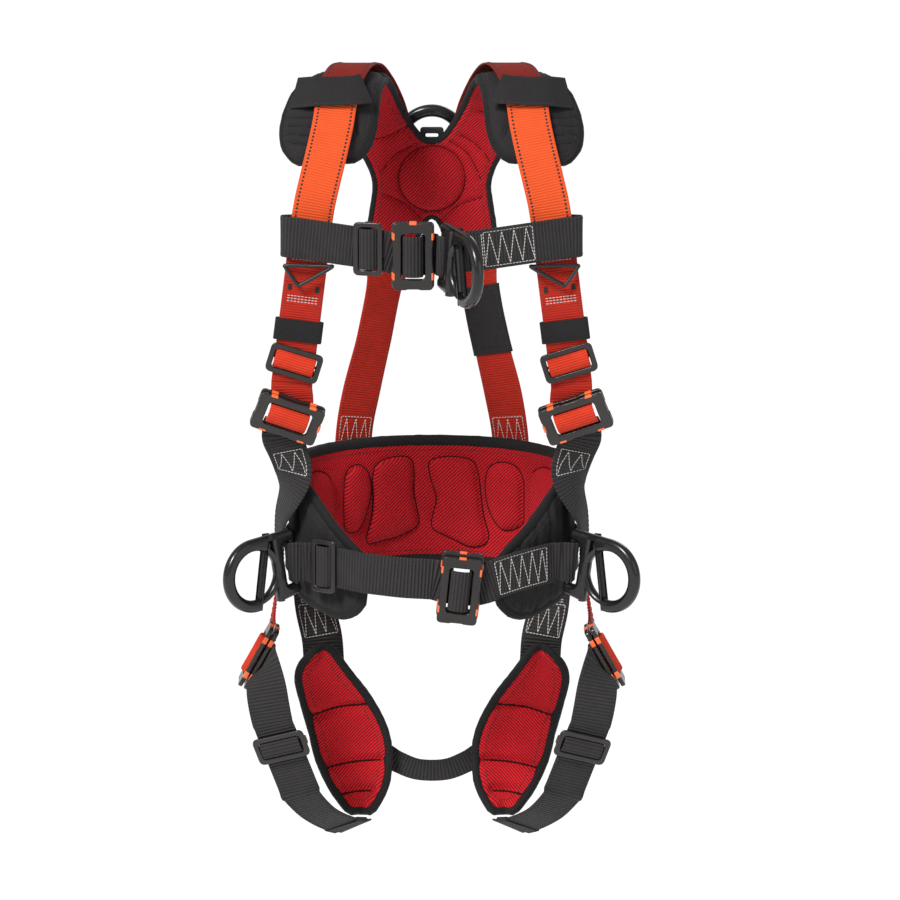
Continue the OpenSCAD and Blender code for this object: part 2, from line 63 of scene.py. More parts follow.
def smooth(rows, steps):
    """A catmull curve through the rows."""
    rows = np.array(rows, float)
    n = len(rows)
    out = []
    for i in range(n - 1):
        a, b, c, d = rows[max(i - 1, 0)], rows[i], rows[i + 1], rows[min(i + 2, n - 1)]
        for t in np.arange(steps) / steps:
            out.append(0.5 * (2 * b + (c - a) * t + (2 * a - 5 * b + 4 * c - d) * t ** 2 + (3 * b - a - 3 * c + d) * t ** 3))
    out.append(rows[-1])
    return np.array(out)


def rounded_loop(points, radius, step=2.5):
    """A closed outline with its corners rounded, sampled about every step."""
    points = np.array(points, float)
    n = len(points)
    out = []
    for i in range(n):
        p, a, b = points[i], points[i - 1], points[(i + 1) % n]
        la, lb = np.linalg.norm(a - p), np.linalg.norm(b - p)
        r = min(radius, la * 0.48, lb * 0.48)
        start, end = p + (a - p) / la * r, p + (b - p) / lb * r
        if out:
            gap = np.linalg.norm(start - out[-1])
            k = int(gap // step)
            out += [out[-1] + (start - out[-1]) * (j / (k + 1)) for j in range(1, k + 1)]
        k = max(2, int(r * 1.4 / step) + 1)
        for j in range(k + 1):
            t = j / k
            out.append(start * (1 - t) ** 2 + p * 2 * t * (1 - t) + end * t ** 2)
    gap = np.linalg.norm(out[0] - out[-1])
    k = int(gap // step)
    out += [out[-1] + (out[0] - out[-1]) * (j / (k + 1)) for j in range(1, k + 1)]
    clean = [out[0]]
    for p in out[1:]:
        if np.linalg.norm(p - clean[-1]) > 0.4:
            clean.append(p)
    return np.array(clean)


def to_polyline(points, line, closed=False):
    """Distance from each point to a polyline."""
    points, line = np.asarray(points, float), np.asarray(line, float)
    a = line
    b = np.roll(line, -1, 0)
    if not closed:
        a, b = a[:-1], b[:-1]
    best = np.full(len(points), 1e9)
    for p, q in zip(a, b):
        d = q - p
        t = np.clip(((points - p) @ d) / max(d @ d, 1e-9), 0, 1)
        best = np.minimum(best, np.linalg.norm(points - p - t[:, None] * d, axis=1))
    return best


def inside(points, loop):
    x, y = points[:, 0], points[:, 1]
    hit = np.zeros(len(points), bool)
    for (x0, y0), (x1, y1) in zip(loop, np.roll(loop, -1, 0)):
        crosses = (y0 > y) != (y1 > y)
        hit ^= crosses & (x < (x1 - x0) * (y - y0) / (y1 - y0 + 1e-12) + x0)
    return hit


def ripple(s, seed):
    """Slow wandering between -1 and 1."""
    return (np.sin(s * 0.045 + seed * 1.7) + 0.6 * np.sin(s * 0.11 + seed * 3.1) + 0.4 * np.sin(s * 0.021 + seed)) / 2


# ---------------------------------------------------------------- materials


def material(name, colour, roughness, build=None, metallic=0.0, coat=0.0, sheen=0.0, specular=0.5):
    m = bpy.data.materials.new(name)
    m.use_nodes = True
    tree = m.node_tree
    shader = tree.nodes["Principled BSDF"]
    shader.inputs["Base Color"].default_value = (*colour, 1)
    shader.inputs["Roughness"].default_value = roughness
    shader.inputs["Metallic"].default_value = metallic
    shader.inputs["Coat Weight"].default_value = coat
    shader.inputs["Sheen Weight"].default_value = sheen
    shader.inputs["Specular IOR Level"].default_value = specular
    if build:
        build(Nodes(tree, shader), colour, roughness)
    return m


class Nodes:
    """Short ways to add shader nodes."""

    def __init__(self, tree, shader):
        self.tree, self.shader = tree, shader
        uv = tree.nodes.new("ShaderNodeUVMap")
        uv.uv_map = "UVMap"
        self.uv = uv.outputs[0]
        split = tree.nodes.new("ShaderNodeSeparateXYZ")
        tree.links.new(self.uv, split.inputs[0])
        self.u, self.v = split.outputs[0], split.outputs[1]

    def put(self, value, socket):
        if isinstance(value, bpy.types.NodeSocket):
            self.tree.links.new(value, socket)
        else:
            socket.default_value = value

    def math(self, kind, a, b=0.0, clamp=False):
        n = self.tree.nodes.new("ShaderNodeMath")
        n.operation = kind
        n.use_clamp = clamp
        self.put(a, n.inputs[0])
        self.put(b, n.inputs[1])
        return n.outputs[0]

    def noise(self, scale, detail=3.0, vector=None):
        n = self.tree.nodes.new("ShaderNodeTexNoise")
        n.inputs["Scale"].default_value = scale
        n.inputs["Detail"].default_value = detail
        self.put(self.uv if vector is None else vector, n.inputs["Vector"])
        return n.outputs["Fac"]

    def ramp(self, fac, stops):
        n = self.tree.nodes.new("ShaderNodeValToRGB")
        self.put(fac, n.inputs[0])
        e = n.color_ramp.elements
        for i, (at, c) in enumerate(stops):
            if i < 2:
                e[i].position = at
            else:
                e.new(at)
            e[i].color = (*c, 1) if len(c) == 3 else c
        return n.outputs[0]

    def wave(self, coordinate, period, power=1.0):
        """0 to 1 and back, once each period millimetres."""
        turns = self.math("MULTIPLY", coordinate, 2 * math.pi * 1000 / period)
        raised = self.math("MULTIPLY_ADD", self.math("SINE", turns), 0.5)
        raised.node.inputs[2].default_value = 0.5
        return self.math("POWER", raised, power) if power != 1 else raised

    def colour(self, fac, low, high):
        self.put(self.ramp(fac, [(0.0, low), (1.0, high)]), self.shader.inputs["Base Color"])

    def bump(self, height, distance, strength=1.0):
        n = self.tree.nodes.new("ShaderNodeBump")
        n.inputs["Strength"].default_value = strength
        n.inputs["Distance"].default_value = distance
        self.put(height, n.inputs["Height"])
        self.put(n.outputs[0], self.shader.inputs["Normal"])


def shade(colour, k):
    return tuple(min(1, c * k) for c in colour)


def webbing_look(period, depth, low=0.62, high=1.25):
    """Ribs across the webbing, a fine weave along it, and uneven wear. The ribs are coloured lighter on top and darker
    between: painted highlight and painted shade on the ribs.
    """
    def build(n, colour, roughness):
        rib = n.wave(n.v, period, 0.8)
        weave = n.math("MULTIPLY", n.wave(n.u, 1.5), n.wave(n.v, period / 2))
        worn = n.noise(60, 4)
        mix = n.math("ADD", n.math("MULTIPLY", rib, 0.45), n.math("MULTIPLY", worn, 0.4))
        mix = n.math("ADD", mix, n.math("MULTIPLY", weave, 0.2), clamp=True)
        # The rib wave makes rib tops lighter and the gaps darker (painted highlight and painted shade); the noise is
        # uneven wear.
        n.colour(mix, shade(colour, low), shade(colour, high))
        height = n.math("ADD", n.math("MULTIPLY", rib, 1.0), n.math("MULTIPLY", weave, 0.3))
        height = n.math("ADD", height, n.math("MULTIPLY", n.noise(900, 2), 0.25))
        n.bump(height, depth)
        n.put(n.math("MULTIPLY_ADD", worn, 0.2), n.shader.inputs["Roughness"])
        n.shader.inputs["Roughness"].links[0].from_node.inputs[2].default_value = roughness - 0.1
    return build


def mesh_look(n, colour, roughness):
    """Spacer mesh: fine slanting ribs crossed by fainter ones, with small holes between. The colour runs dark between
    the ribs and light on them: painted shade in the holes and painted highlights on the ribs, varied by a noise of
    uneven tone.
    """
    rib = n.wave(n.math("SUBTRACT", n.v, n.u), 4.0)
    cross = n.wave(n.math("ADD", n.u, n.v), 2.8)
    net = n.math("ADD", n.math("MULTIPLY", rib, 0.75), n.math("MULTIPLY", cross, 0.25))
    worn = n.noise(25, 4)
    mix = n.math("MULTIPLY", net, n.math("ADD", n.math("MULTIPLY", worn, 0.6), 0.65), clamp=True)
    # Dark holes and light rib tops: painted shade and painted highlights on the mesh.
    n.colour(mix, shade(colour, 0.3), shade(colour, 1.75))
    n.bump(n.math("ADD", net, n.math("MULTIPLY", n.noise(700, 2), 0.3)), 0.0008)


def cloth_look(period, low=0.6, high=1.5):
    def build(n, colour, roughness):
        weave = n.math("MULTIPLY", n.wave(n.u, period), n.wave(n.v, period))
        worn = n.noise(40, 5)
        mix = n.math("ADD", n.math("MULTIPLY", weave, 0.5), n.math("MULTIPLY", worn, 0.55), clamp=True)
        n.colour(mix, shade(colour, low), shade(colour, high))
        n.bump(n.math("ADD", weave, n.math("MULTIPLY", n.noise(300, 3), 0.6)), 0.0004)
    return build


def binding_look(n, colour, roughness):
    rib = n.wave(n.v, 1.6)
    worn = n.noise(45, 4)
    n.colour(n.math("ADD", n.math("MULTIPLY", rib, 0.4), n.math("MULTIPLY", worn, 0.5), clamp=True), shade(colour, 0.6), shade(colour, 1.6))
    n.bump(n.math("ADD", rib, n.noise(120, 3)), 0.0004)


def metal_look(bump, scale):
    """Coated metal: a faint grain, rubbed patches and small scratches."""
    def build(n, colour, roughness):
        grain = n.noise(scale, 3)
        rubbed = n.ramp(n.noise(18, 6), [(0.45, (0, 0, 0)), (0.75, (1, 1, 1))])
        stretch = n.tree.nodes.new("ShaderNodeMapping")
        stretch.inputs["Scale"].default_value = (900, 40, 1)
        stretch.inputs["Rotation"].default_value = (0, 0, 0.7)
        n.put(n.uv, stretch.inputs["Vector"])
        scratch = n.ramp(n.noise(1.0, 2, stretch.outputs[0]), [(0.68, (0, 0, 0)), (0.74, (1, 1, 1))])
        n.colour(n.math("ADD", n.math("MULTIPLY", rubbed, 0.5), n.math("MULTIPLY", scratch, 0.3), clamp=True), shade(colour, 0.85), shade(colour, 1.9))
        rough = n.math("ADD", n.math("MULTIPLY", grain, 0.12), n.math("MULTIPLY", rubbed, -0.08))
        n.put(n.math("ADD", rough, roughness), n.shader.inputs["Roughness"])
        n.bump(n.math("SUBTRACT", grain, n.math("MULTIPLY", scratch, 0.3)), bump)
    return build


def paint_look(n, colour, roughness):
    worn = n.noise(90, 4)
    n.colour(worn, shade(colour, 0.75), shade(colour, 1.15))
    n.bump(worn, 0.0002)


def thread_look(n, colour, roughness):
    twist = n.wave(n.math("ADD", n.u, n.v), 0.9)
    n.colour(twist, shade(colour, 0.65), shade(colour, 1.1))
    n.bump(twist, 0.0002)


def fabric(name, colour, look, specular=0.12):
    return material(name, colour, 0.75, look, sheen=0.02, specular=specular)


MAT = {
    "orange": fabric("orange_webbing", (0.7, 0.085, 0.02), webbing_look(3.0, 0.0005, 0.66, 1.2)),
    "red": fabric("red_webbing", (0.4, 0.02, 0.01), webbing_look(2.8, 0.0005, 0.5, 1.3)),
    "deep": fabric("dark_red_webbing", (0.2, 0.014, 0.009), webbing_look(2.8, 0.0005, 0.5, 1.3)),
    # A brighter copy of the red webbing for the rolls that bulge over the buckle bars: painted highlight on the rolls.
    "roll": fabric("red_webbing_painted_highlight", (0.6, 0.04, 0.015), webbing_look(2.8, 0.0006, 0.5, 1.3)),
    # The wide 0.25 to 2.4 range lights the black ribs grey and darkens the gaps: painted highlights and painted shade
    # on the ribs.
    "black": fabric("black_webbing", (0.016, 0.0145, 0.015), webbing_look(3.8, 0.0011, 0.25, 2.4), 0.3),
    "mesh": fabric("crimson_spacer_mesh", (0.38, 0.008, 0.014), mesh_look),
    "bright": fabric("red_spacer_mesh", (0.46, 0.01, 0.016), mesh_look),
    # Near-black crimson for the cords laid in the pad grooves: painted shade along the seams.
    "seam": fabric("painted_shade_seam_cord", (0.05, 0.002, 0.004), cloth_look(1.4)),
    "cloth": fabric("black_weave", (0.012, 0.0105, 0.011), cloth_look(1.4), 0.3),
    "binding": fabric("black_binding", (0.006, 0.0055, 0.006), binding_look, 0.3),
    "plate": material("coated_plate", (0.016, 0.013, 0.012), 0.36, metal_look(0.00008, 700), metallic=0.3, coat=0.25),
    "forged": material("forged_black", (0.014, 0.014, 0.016), 0.27, metal_look(0.00012, 220), metallic=0.55, coat=0.35),
    "wire": material("black_wire", (0.018, 0.018, 0.019), 0.34, metal_look(0.00006, 500), metallic=0.5, coat=0.2),
    "plastic": material("black_plastic", (0.016, 0.016, 0.017), 0.5, metal_look(0.0001, 500)),
    "mark": material("orange_mark", (0.85, 0.14, 0.03), 0.5, paint_look),
    "white": material("white_thread", (0.66, 0.64, 0.6), 0.7, thread_look),
    "dark": material("black_thread", (0.02, 0.018, 0.02), 0.7, thread_look),
    "rust": material("red_thread", (0.34, 0.03, 0.02), 0.7, thread_look),
}

# ---------------------------------------------------------------- meshes


class Geo:
    """Vertices, faces and a flat coordinate for each vertex, all in millimetres."""

    def __init__(self):
        self.v, self.f, self.uv, self.n = [], [], [], 0

    def add(self, v, f, uv):
        v = np.asarray(v, float).reshape(-1, 3)
        self.v.append(v)
        self.uv.append(np.asarray(uv, float).reshape(-1, 2))
        self.f += [tuple(int(i) + self.n for i in face) for face in f]
        self.n += len(v)
        return self

    def grid(self, points, uv, close_u=False, flip=False):
        """Rows by columns of points."""
        points = np.asarray(points, float)
        r, c = points.shape[:2]
        f = []
        for i in range(r - 1):
            for j in range(c if close_u else c - 1):
                k = (j + 1) % c
                q = (i * c + j, i * c + k, (i + 1) * c + k, (i + 1) * c + j)
                f.append(q[::-1] if flip else q)
        return self.add(points.reshape(-1, 3), f, np.asarray(uv, float).reshape(-1, 2))

    def moved(self, matrix, place):
        for i in range(len(self.v)):
            self.v[i] = self.v[i] @ np.asarray(matrix).T + np.asarray(place, float)
        return self


def emit(name, geo, mat, node, body=None, mirror=False, sharp=None, replaces=True):
    v = np.vstack(geo.v) * 0.001
    uv = np.vstack(geo.uv) * 0.001
    faces = geo.f
    if mirror:
        v = v * np.array([-1, 1, 1])
        faces = [f[::-1] for f in faces]
    mesh = bpy.data.meshes.new(name)
    mesh.from_pydata(v.tolist(), [], faces)
    layer = mesh.uv_layers.new(name="UVMap")
    index = np.empty(len(mesh.loops), np.int32)
    mesh.loops.foreach_get("vertex_index", index)
    layer.data.foreach_set("uv", uv[index].astype(np.float32).ravel())
    mesh.polygons.foreach_set("use_smooth", np.ones(len(mesh.polygons), bool))
    mesh.update()
    mesh.validate()
    if sharp:
        mesh.set_sharp_from_angle(angle=math.radians(sharp))
    mesh.materials.append(MAT[mat])
    o = bpy.data.objects.new(name, mesh)
    bpy.context.scene.collection.objects.link(o)
    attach(o, body or body_of[node])
    if replaces:
        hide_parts(node)
    return o


body_of = {n: b for b, group in frame["record"]["behaviour"]["bodies"].items() for n in group}


class Web:
    """Webbing along a route of points and width directions."""

    def __init__(self, rows, width=45.0, thick=2.4, seed=0, step=3.0, slack=0.35):
        dense = smooth(rows, 14)
        gaps = np.linalg.norm(np.diff(dense[:, :3], axis=0), axis=1)
        keep = np.r_[True, gaps > 1e-6]
        dense = dense[keep]
        s = np.r_[0, np.cumsum(np.linalg.norm(np.diff(dense[:, :3], axis=0), axis=1))]
        self.length = s[-1]
        self.s = np.linspace(0, self.length, max(6, int(self.length / step)))
        at = np.stack([np.interp(self.s, s, dense[:, k]) for k in range(6)], 1)
        self.p = at[:, :3]
        self.t = unit(np.gradient(self.p, axis=0))
        raw = at[:, 3:]
        self.a = unit(raw - (raw * self.t).sum(1, keepdims=True) * self.t)
        self.b = np.cross(self.t, self.a)
        self.width, self.thick = width, thick
        self.p = self.p + self.b * (ripple(self.s, seed) * slack)[:, None]

    def at(self, s, w, h):
        """Points at distance s along, w across and h above the middle."""
        s, w, h = np.broadcast_arrays(np.asarray(s, float), w, h)
        pick = lambda q: np.stack([np.interp(s.ravel(), self.s, q[:, k]) for k in range(3)], 1)
        out = pick(self.p) + pick(self.a) * w.ravel()[:, None] + pick(self.b) * h.ravel()[:, None]
        return out.reshape(s.shape + (3,))

    def skin(self, geo=None, s0=0.0, s1=None, curl=0.12):
        geo = geo or Geo()
        s1 = self.length if s1 is None else s1
        s = np.linspace(s0, s1, max(3, int((s1 - s0) / 3)))
        half, t = self.width / 2, self.thick / 2
        across = np.array([-1, -0.985, -0.93, -0.6, -0.2, 0.2, 0.6, 0.93, 0.985, 1])
        lift = np.array([0.3, 0.75, 1, 1, 1, 1, 1, 1, 0.75, 0.3])
        w = np.r_[across, across[::-1]] * half
        h = np.r_[lift, -lift[::-1]] * t + curl * (np.r_[across, across[::-1]] ** 2 - 0.4)
        S, W = np.meshgrid(s, w, indexing="ij")
        H = np.broadcast_to(h, S.shape)
        geo.grid(self.at(S, W, H), np.stack([W, S], -1), close_u=True, flip=True)
        for end in (0, -1):
            ring = self.at(np.full(len(w), s[end]), w, h)
            face = tuple(range(len(w)))
            geo.add(ring, [face if end == 0 else face[::-1]], np.stack([w, w * 0], 1))
        return geo


def thread(geo, place, points, dash=3.4, gap=1.3, radius=0.5, height=0.55):
    """Stitches along a line. place(s, w, h) gives the points, points are (s, w) pairs, h is above the surface."""
    points = np.asarray(points, float)
    for p, q in zip(points[:-1], points[1:]):
        length = np.linalg.norm(q - p)
        count = max(1, int(round(length / (dash + gap))))
        d = (q - p) / count
        side = np.array([-d[1], d[0]]) / max(np.linalg.norm(d), 1e-9)
        fill = dash / (dash + gap)
        rows, flat = [], []
        for i in range(count):
            start = p + d * (i + (1 - fill) / 2)
            for t, k in ((0, 0.35), (0.25, 1), (0.75, 1), (1, 0.35)):
                c = start + d * fill * t
                for e, up in ((-1, -0.15), (0, 1), (1, -0.15)):
                    x = c + side * e * radius * k
                    rows.append((x[0], x[1], height * up * k))
                    flat.append((e * radius, length * (i + t) / count))
        rows = np.array(rows)
        v = place(rows[:, 0], rows[:, 1], rows[:, 2])
        f = []
        for i in range(count):
            o = i * 12
            for r in range(3):
                for c in range(2):
                    f.append((o + r * 3 + c, o + r * 3 + c + 1, o + r * 3 + c + 4, o + r * 3 + c + 3))
        geo.add(v, f, flat)
    return geo


def on(web, face=1):
    """Places stitches on a face of the webbing: 1 is the side its normal points to."""
    return lambda s, w, h: web.at(s, w, face * (web.thick / 2 + 0.12 * (np.asarray(w) / web.width * 2) ** 2 + np.asarray(h)))


def edges(geo, web, inset=3.0, s0=2.0, s1=None, face=1, **k):
    s1 = web.length - 2 if s1 is None else s1
    for w in (-web.width / 2 + inset, web.width / 2 - inset):
        thread(geo, on(web, face), [(s, w) for s in np.linspace(s0, s1, max(2, int((s1 - s0) / 12)))], **k)
    return geo


def zigzag(geo, web, s0, s1, face=1, reach=17.0, pitch=5.0, box=True, along=True, **k):
    """Bar of zigzag stitching with a stitched box round it."""
    if along:
        n = max(2, int(round(2 * reach / pitch)))
        points = [(s0 + 2 if i % 2 else s1 - 2, -reach + 2 * reach * i / n) for i in range(n + 1)]
    else:
        n = max(2, int(round((s1 - s0) / pitch)))
        points = [(s0 + (s1 - s0) * i / n, reach if i % 2 else -reach) for i in range(n + 1)]
    thread(geo, on(web, face), points, dash=3.0, gap=0.5, **k)
    if box:
        loop = [(s0, -reach - 1.5), (s1, -reach - 1.5), (s1, reach + 1.5), (s0, reach + 1.5), (s0, -reach - 1.5)]
        thread(geo, on(web, face), loop, dash=3.0, gap=0.7, **k)
    return geo


def tube(geo, line, radius, closed=False, around=12, normals=None, radius2=None, puff=0.0):
    """A round or oval tube along a line of points. normals fixes the second radius's direction."""
    line = np.asarray(line, float)
    n = len(line)
    ahead = np.roll(line, -1, 0) - np.roll(line, 1, 0) if closed else np.gradient(line, axis=0)
    t = unit(ahead)
    if normals is None:
        ref = np.array([0, 0, 1.0]) if abs(t[0][2]) < 0.8 else np.array([0, 1.0, 0])
        normals = np.zeros_like(line)
        last = unit(ref - (ref @ t[0]) * t[0])
        for i in range(n):
            last = unit(last - (last @ t[i]) * t[i])
            normals[i] = last
    side = unit(np.cross(t, normals))
    radius2 = radius if radius2 is None else radius2
    length = np.r_[0, np.cumsum(np.linalg.norm(np.diff(line, axis=0), axis=1))]
    swell = 1 + puff * np.sin(length * 0.7) * np.sin(length * 0.23)
    angles = np.linspace(0, 2 * math.pi, around + 1)
    c, s = np.cos(angles), np.sin(angles)
    ring = line[:, None] + side[:, None] * (c[None, :, None] * radius * swell[:, None, None]) + normals[:, None] * (s[None, :, None] * radius2 * swell[:, None, None])
    uv = np.stack(np.broadcast_arrays(angles[None] * radius, length[:, None]), -1)
    if closed:
        ring = np.concatenate([ring, ring[:1]])
        uv = np.concatenate([uv, [np.stack(np.broadcast_arrays(angles * radius, length[-1] + 2.5), -1)]])
    geo.grid(ring, uv)
    if not closed:
        for end in (0, -1):
            face = tuple(range(around))
            geo.add(ring[end][:-1], [face if end == 0 else face[::-1]], uv[end][:-1])
    return geo


# ---------------------------------------------------------------- pads


class Pad:
    """A padded piece: a flat outline, a map onto its curved middle surface, and a height on each face."""

    def __init__(self, outline, surface, heights, spacing=3.2, lines=()):
        self.surface, self.heights = surface, heights
        loop = np.asarray(outline, float)
        self.loop = loop
        lo, hi = loop.min(0), loop.max(0)
        rows = np.arange(lo[1], hi[1], spacing * 0.87)
        inner = []
        for i, y in enumerate(rows):
            xs = np.arange(lo[0] + (i % 2) * spacing / 2, hi[0], spacing)
            inner.append(np.stack([xs, np.full(len(xs), y)], 1))
        inner = np.vstack(inner)
        inner = inner[inside(inner, loop)]
        for line, closed in [(loop, True)] + [(line, False) for line in lines]:
            inner = inner[to_polyline(inner, line, closed) > spacing * 0.55]
        inner = inner + rng.normal(0, 0.08, inner.shape)
        points = np.vstack([loop, inner, *[line[1:] for line in lines]])
        n = len(loop)
        made = geometry.delaunay_2d_cdt([Vector(p) for p in points], [], [list(range(n))], 1, 1e-5)
        self.flat = np.array([list(v) for v in made[0]])
        self.tris = [tuple(t) for t in made[2]]
        self.away = to_polyline(self.flat, loop, True)

    def at(self, flat, face, lift=0.0):
        """Points on a face (1 or -1) of the pad."""
        flat = np.asarray(flat, float)
        p, nrm = self.surface(flat[:, 0], flat[:, 1])
        h = self.heights(flat, to_polyline(flat, self.loop, True), face)
        return p + nrm * (face * (h + lift))[:, None]

    def skin(self, face):
        h = self.heights(self.flat, self.away, face)
        p, nrm = self.surface(self.flat[:, 0], self.flat[:, 1])
        v = p + nrm * (face * h)[:, None]
        # The face's own normal decides which way round the triangles go
        t = self.tris[len(self.tris) // 2]
        real = np.cross(v[t[1]] - v[t[0]], v[t[2]] - v[t[0]]) @ nrm[t[0]]
        flip = (real > 0) != (face > 0)
        tris = [q[::-1] for q in self.tris] if flip else self.tris
        return Geo().add(v, tris, self.flat)

    def piping(self, width, depth, puff=0.05, step=2):
        loop = self.loop[::step]
        p, nrm = self.surface(loop[:, 0], loop[:, 1])
        return tube(Geo(), p, width, closed=True, normals=nrm, radius2=depth, around=14, puff=puff)

    def seam(self, line, face, width=1.5, lift=0.1):
        """A cord at the bottom of a groove; drawn darker than the pad, it is painted shade along the groove."""
        line = smooth(line, 4)
        _, nrm = self.surface(line[:, 0], line[:, 1])
        return tube(Geo(), self.at(line, face, lift), width, normals=nrm, radius2=0.5, around=8)

    def stitches(self, geo, line, face, **k):
        place = lambda s, w, h: self.at(np.stack([s, w], 1), face, np.asarray(h))
        return thread(geo, place, line, **k)


def dome(d, reach):
    """0 at the edge, 1 past reach, round between."""
    return np.sqrt(np.clip(1 - (1 - np.clip(d / reach, 0, 1)) ** 2, 0, 1))


def groove(d, width):
    """1 on the line, 0 past width."""
    return np.exp(-(d / width) ** 2)


def inset_loop(loop, by):
    """The outline moved inwards."""
    t = unit(np.roll(loop, -1, 0) - np.roll(loop, 1, 0))
    n = np.stack([-t[:, 1], t[:, 0]], 1)
    area = np.sum(loop[:, 0] * np.roll(loop[:, 1], -1) - np.roll(loop[:, 0], -1) * loop[:, 1])
    out = loop + n * (by if area > 0 else -by)
    ok = to_polyline(out, loop, True) > by * 0.93
    return out[ok]


# ---------------------------------------------------------------- the harness's places (millimetres)

EYE_X, EYE_R, RIM, RING_T, BAR_R, SLOT_X, SLOT_W, ARM_H = 54, 27.5, 13.5, 12, 4, 13, 49, 37
CHEST = (np.array([-20, -120.5, 343.0]), np.eye(3))
WAIST = (np.array([31, -124.5, -22.0]), turn("y", 6))
TORSO = (np.array([-157, -80, 158.0]), turn("x", 14) @ turn("y", 110))
LEG = (np.array([-183, -47, -123.0]), turn("y", 29) @ turn("z", -90))
HIP_BAR, HIP = np.array([-152, -66, -9.0]), turn("z", 218) @ turn("y", 10)
STERNAL_BAR, STERNAL = np.array([13, -129, 344.0]), turn("z", -65) @ turn("y", 8)
DORSAL_BAR, DORSAL = np.array([0, 142, 367.0]), turn("x", 3.5) @ turn("y", -90)
HOOK = [[30, 0.6], [23, 0.6], [17, 0.5], [12.5, -0.6], [9.5, -3.2]]
WRAP = [[-15, 8], [-9.5, 5], [-6.6, -1.4], [0, -6.8], [6.6, -1.4], [9.5, 5], [15, 8]]


def hook(where, side, skew):
    base, m = where
    return [[*(base + m @ np.array([side * h[0], h[1], skew * max(0, h[0] - 17) / 13])), *(m @ np.array([0, 0, 1]))] for h in HOOK]


def over_bar(bar, out, up):
    out = np.array(out, float)
    return [[*(bar - w[0] * np.cross([0, 0, 1], out) - w[1] * out), *up] for w in WRAP]


def mirrored(rows):
    return [[-r[0], r[1], r[2], -r[3], r[4], r[5]] for r in rows]


hip_up, sternal_up = HIP @ [0, 0, 1], STERNAL @ [0, 0, 1]
hip_wrap = over_bar(HIP_BAR, turn("z", 218) @ [1, 0, 0], hip_up)
chest_end = hook(CHEST, 1, 1)[::-1]
chest_wrap = over_bar(STERNAL_BAR, [0.1, -0.995, 0], sternal_up)[::-1]

SHOULDER = [
    [-27, 123.3, 392, 0.88, 0, -0.45], [-36, 123.6, 416, 0.9, 0, -0.4], [-45, 121.5, 441, 1, 0, 0],
    [-53, 112, 469, 1, 0, 0], [-65, 86, 500, 1, 0, 0], [-76, 50, 521, 1, 0, 0], [-86, 10, 528, 1, 0, 0],
    [-96, -20, 520, 1, 0, 0], [-103, -44, 499, 1, 0, 0], [-107, -60, 476, 1, 0, 0], [-113, -73, 450, 1, 0, 0.1],
    [-120, -80, 422, 1, 0, 0.1], [-127, -85, 392, 1, 0, 0.1], [-132, -87, 360, 1, 0, 0.1]]
TORSO_WEB = [
    [-133, -87, 355, 1, 0, 0.1], [-136, -87, 325, 1, 0, 0], [-138.4, -87, 305, 1, 0, -0.14], [-139.5, -87, 296, 1, 0, -0.14],
    [-151, -87, 204, 1, 0, -0.14], [-152, -86.4, 196, 1, 0, -0.2]] + hook(TORSO, -1, -6)
SIDE = hook(TORSO, 1, 5)[::-1] + [
    [-156, -66, 110, 1, -0.1, -0.2], [-152, -58, 90, 0.9, -0.3, -0.1], [-157, -45, 62, 0.5, -0.8, 0], [-166, -30, 30, 0.25, -1, 0],
    [-167.5, -27, -14, 0.2, -1, 0]]
BACK = [
    [-41, 123.5, 330, 1, 0, 0.1], [-46, 123.5, 300, 1, 0, 0.1], [-48.5, 123.5, 286, 1, 0.05, 0.1], [-53, 117, 260, 0.85, 0.5, 0],
    [-64, 110, 205, 0.85, 0.5, 0], [-78, 110, 145, 0.92, 0.38, 0], [-86, 111, 100, 0.9, 0.44, 0], [-88, 111, 60, 0.88, 0.47, 0],
    [-88, 111, 30, 0.88, 0.47, 0]]
CHEST_RIGHT = [
    [-118, -78, 357, 0, 0, 1], [-157, -80, 357, 0, 0, 1], [-163, -86, 357, 0, 0, 1], [-158, -93, 357, 0, 0, 1],
    [-140, -97.3, 355.8, 0, 0, 1], [-132, -99.3, 355, 0, 0, 1], [-66, -116, 348.6, 0, 0, 1]] + hook(CHEST, -1, 4)
CHEST_LEFT = chest_end[:4] + [[6.2, -124.2, 344, 0, 0, 1]] + chest_wrap[2:] + [
    [36, -119, 346, 0, 0, 1], [60, -116, 348, 0, 0, 1], [140, -97, 356, 0, 0, 1], [158, -93, 357, 0, 0, 1],
    [163, -86, 357, 0, 0, 1], [157, -80, 357, 0, 0, 1], [118, -78, 357, 0, 0, 1]]
BELT_RIGHT = hook(WAIST, -1, 2)[::-1] + [
    [-30, -124, -15, 0, 0, 1], [-54, -121, -13, 0, 0, 1], [-76, -115, -11.5, 0, 0, 1], [-84, -109.1, -11, 0, 0, 1],
    [-124, -79.5, -9.6, 0, 0, 1], [-132, -73.6, -9.3, 0, 0, 1]] + hip_wrap
BELT_LEFT = hook(WAIST, 1, 5)[::-1] + [
    [70, -121, -17, 0, 0, 1], [90, -108, -13, 0, 0, 1], [114, -90, -10, 0, 0, 1], [132, -73.6, -9.3, 0, 0, 1]] + mirrored(hip_wrap)
LEG_WEB = [
    [-136, 82, 15, 0.64, 0.77, 0], [-136, 82, -22, 0.64, 0.77, 0], [-134, 74, -60, 0.8, 0.5, 0], [-129, 60, -92, 1, 0.2, 0],
    [-122, 49, -120, 1, 0, 0], [-120, 52, -145, 1, 0, 0], [-119, 56.5, -172, 1, 0, 0]]
LEG_SIDE = [
    [-168, 18, 12, -0.1, -1, 0], [-168, 18, -22, -0.1, -1, 0], [-171, 20, -60, 0, -1, 0.1],
    [-175, 20, -90, 0.1, -1, 0.4], [-179, 8, -110, 0.3, -0.5, 0.7]] + hook(LEG, -1, 0)
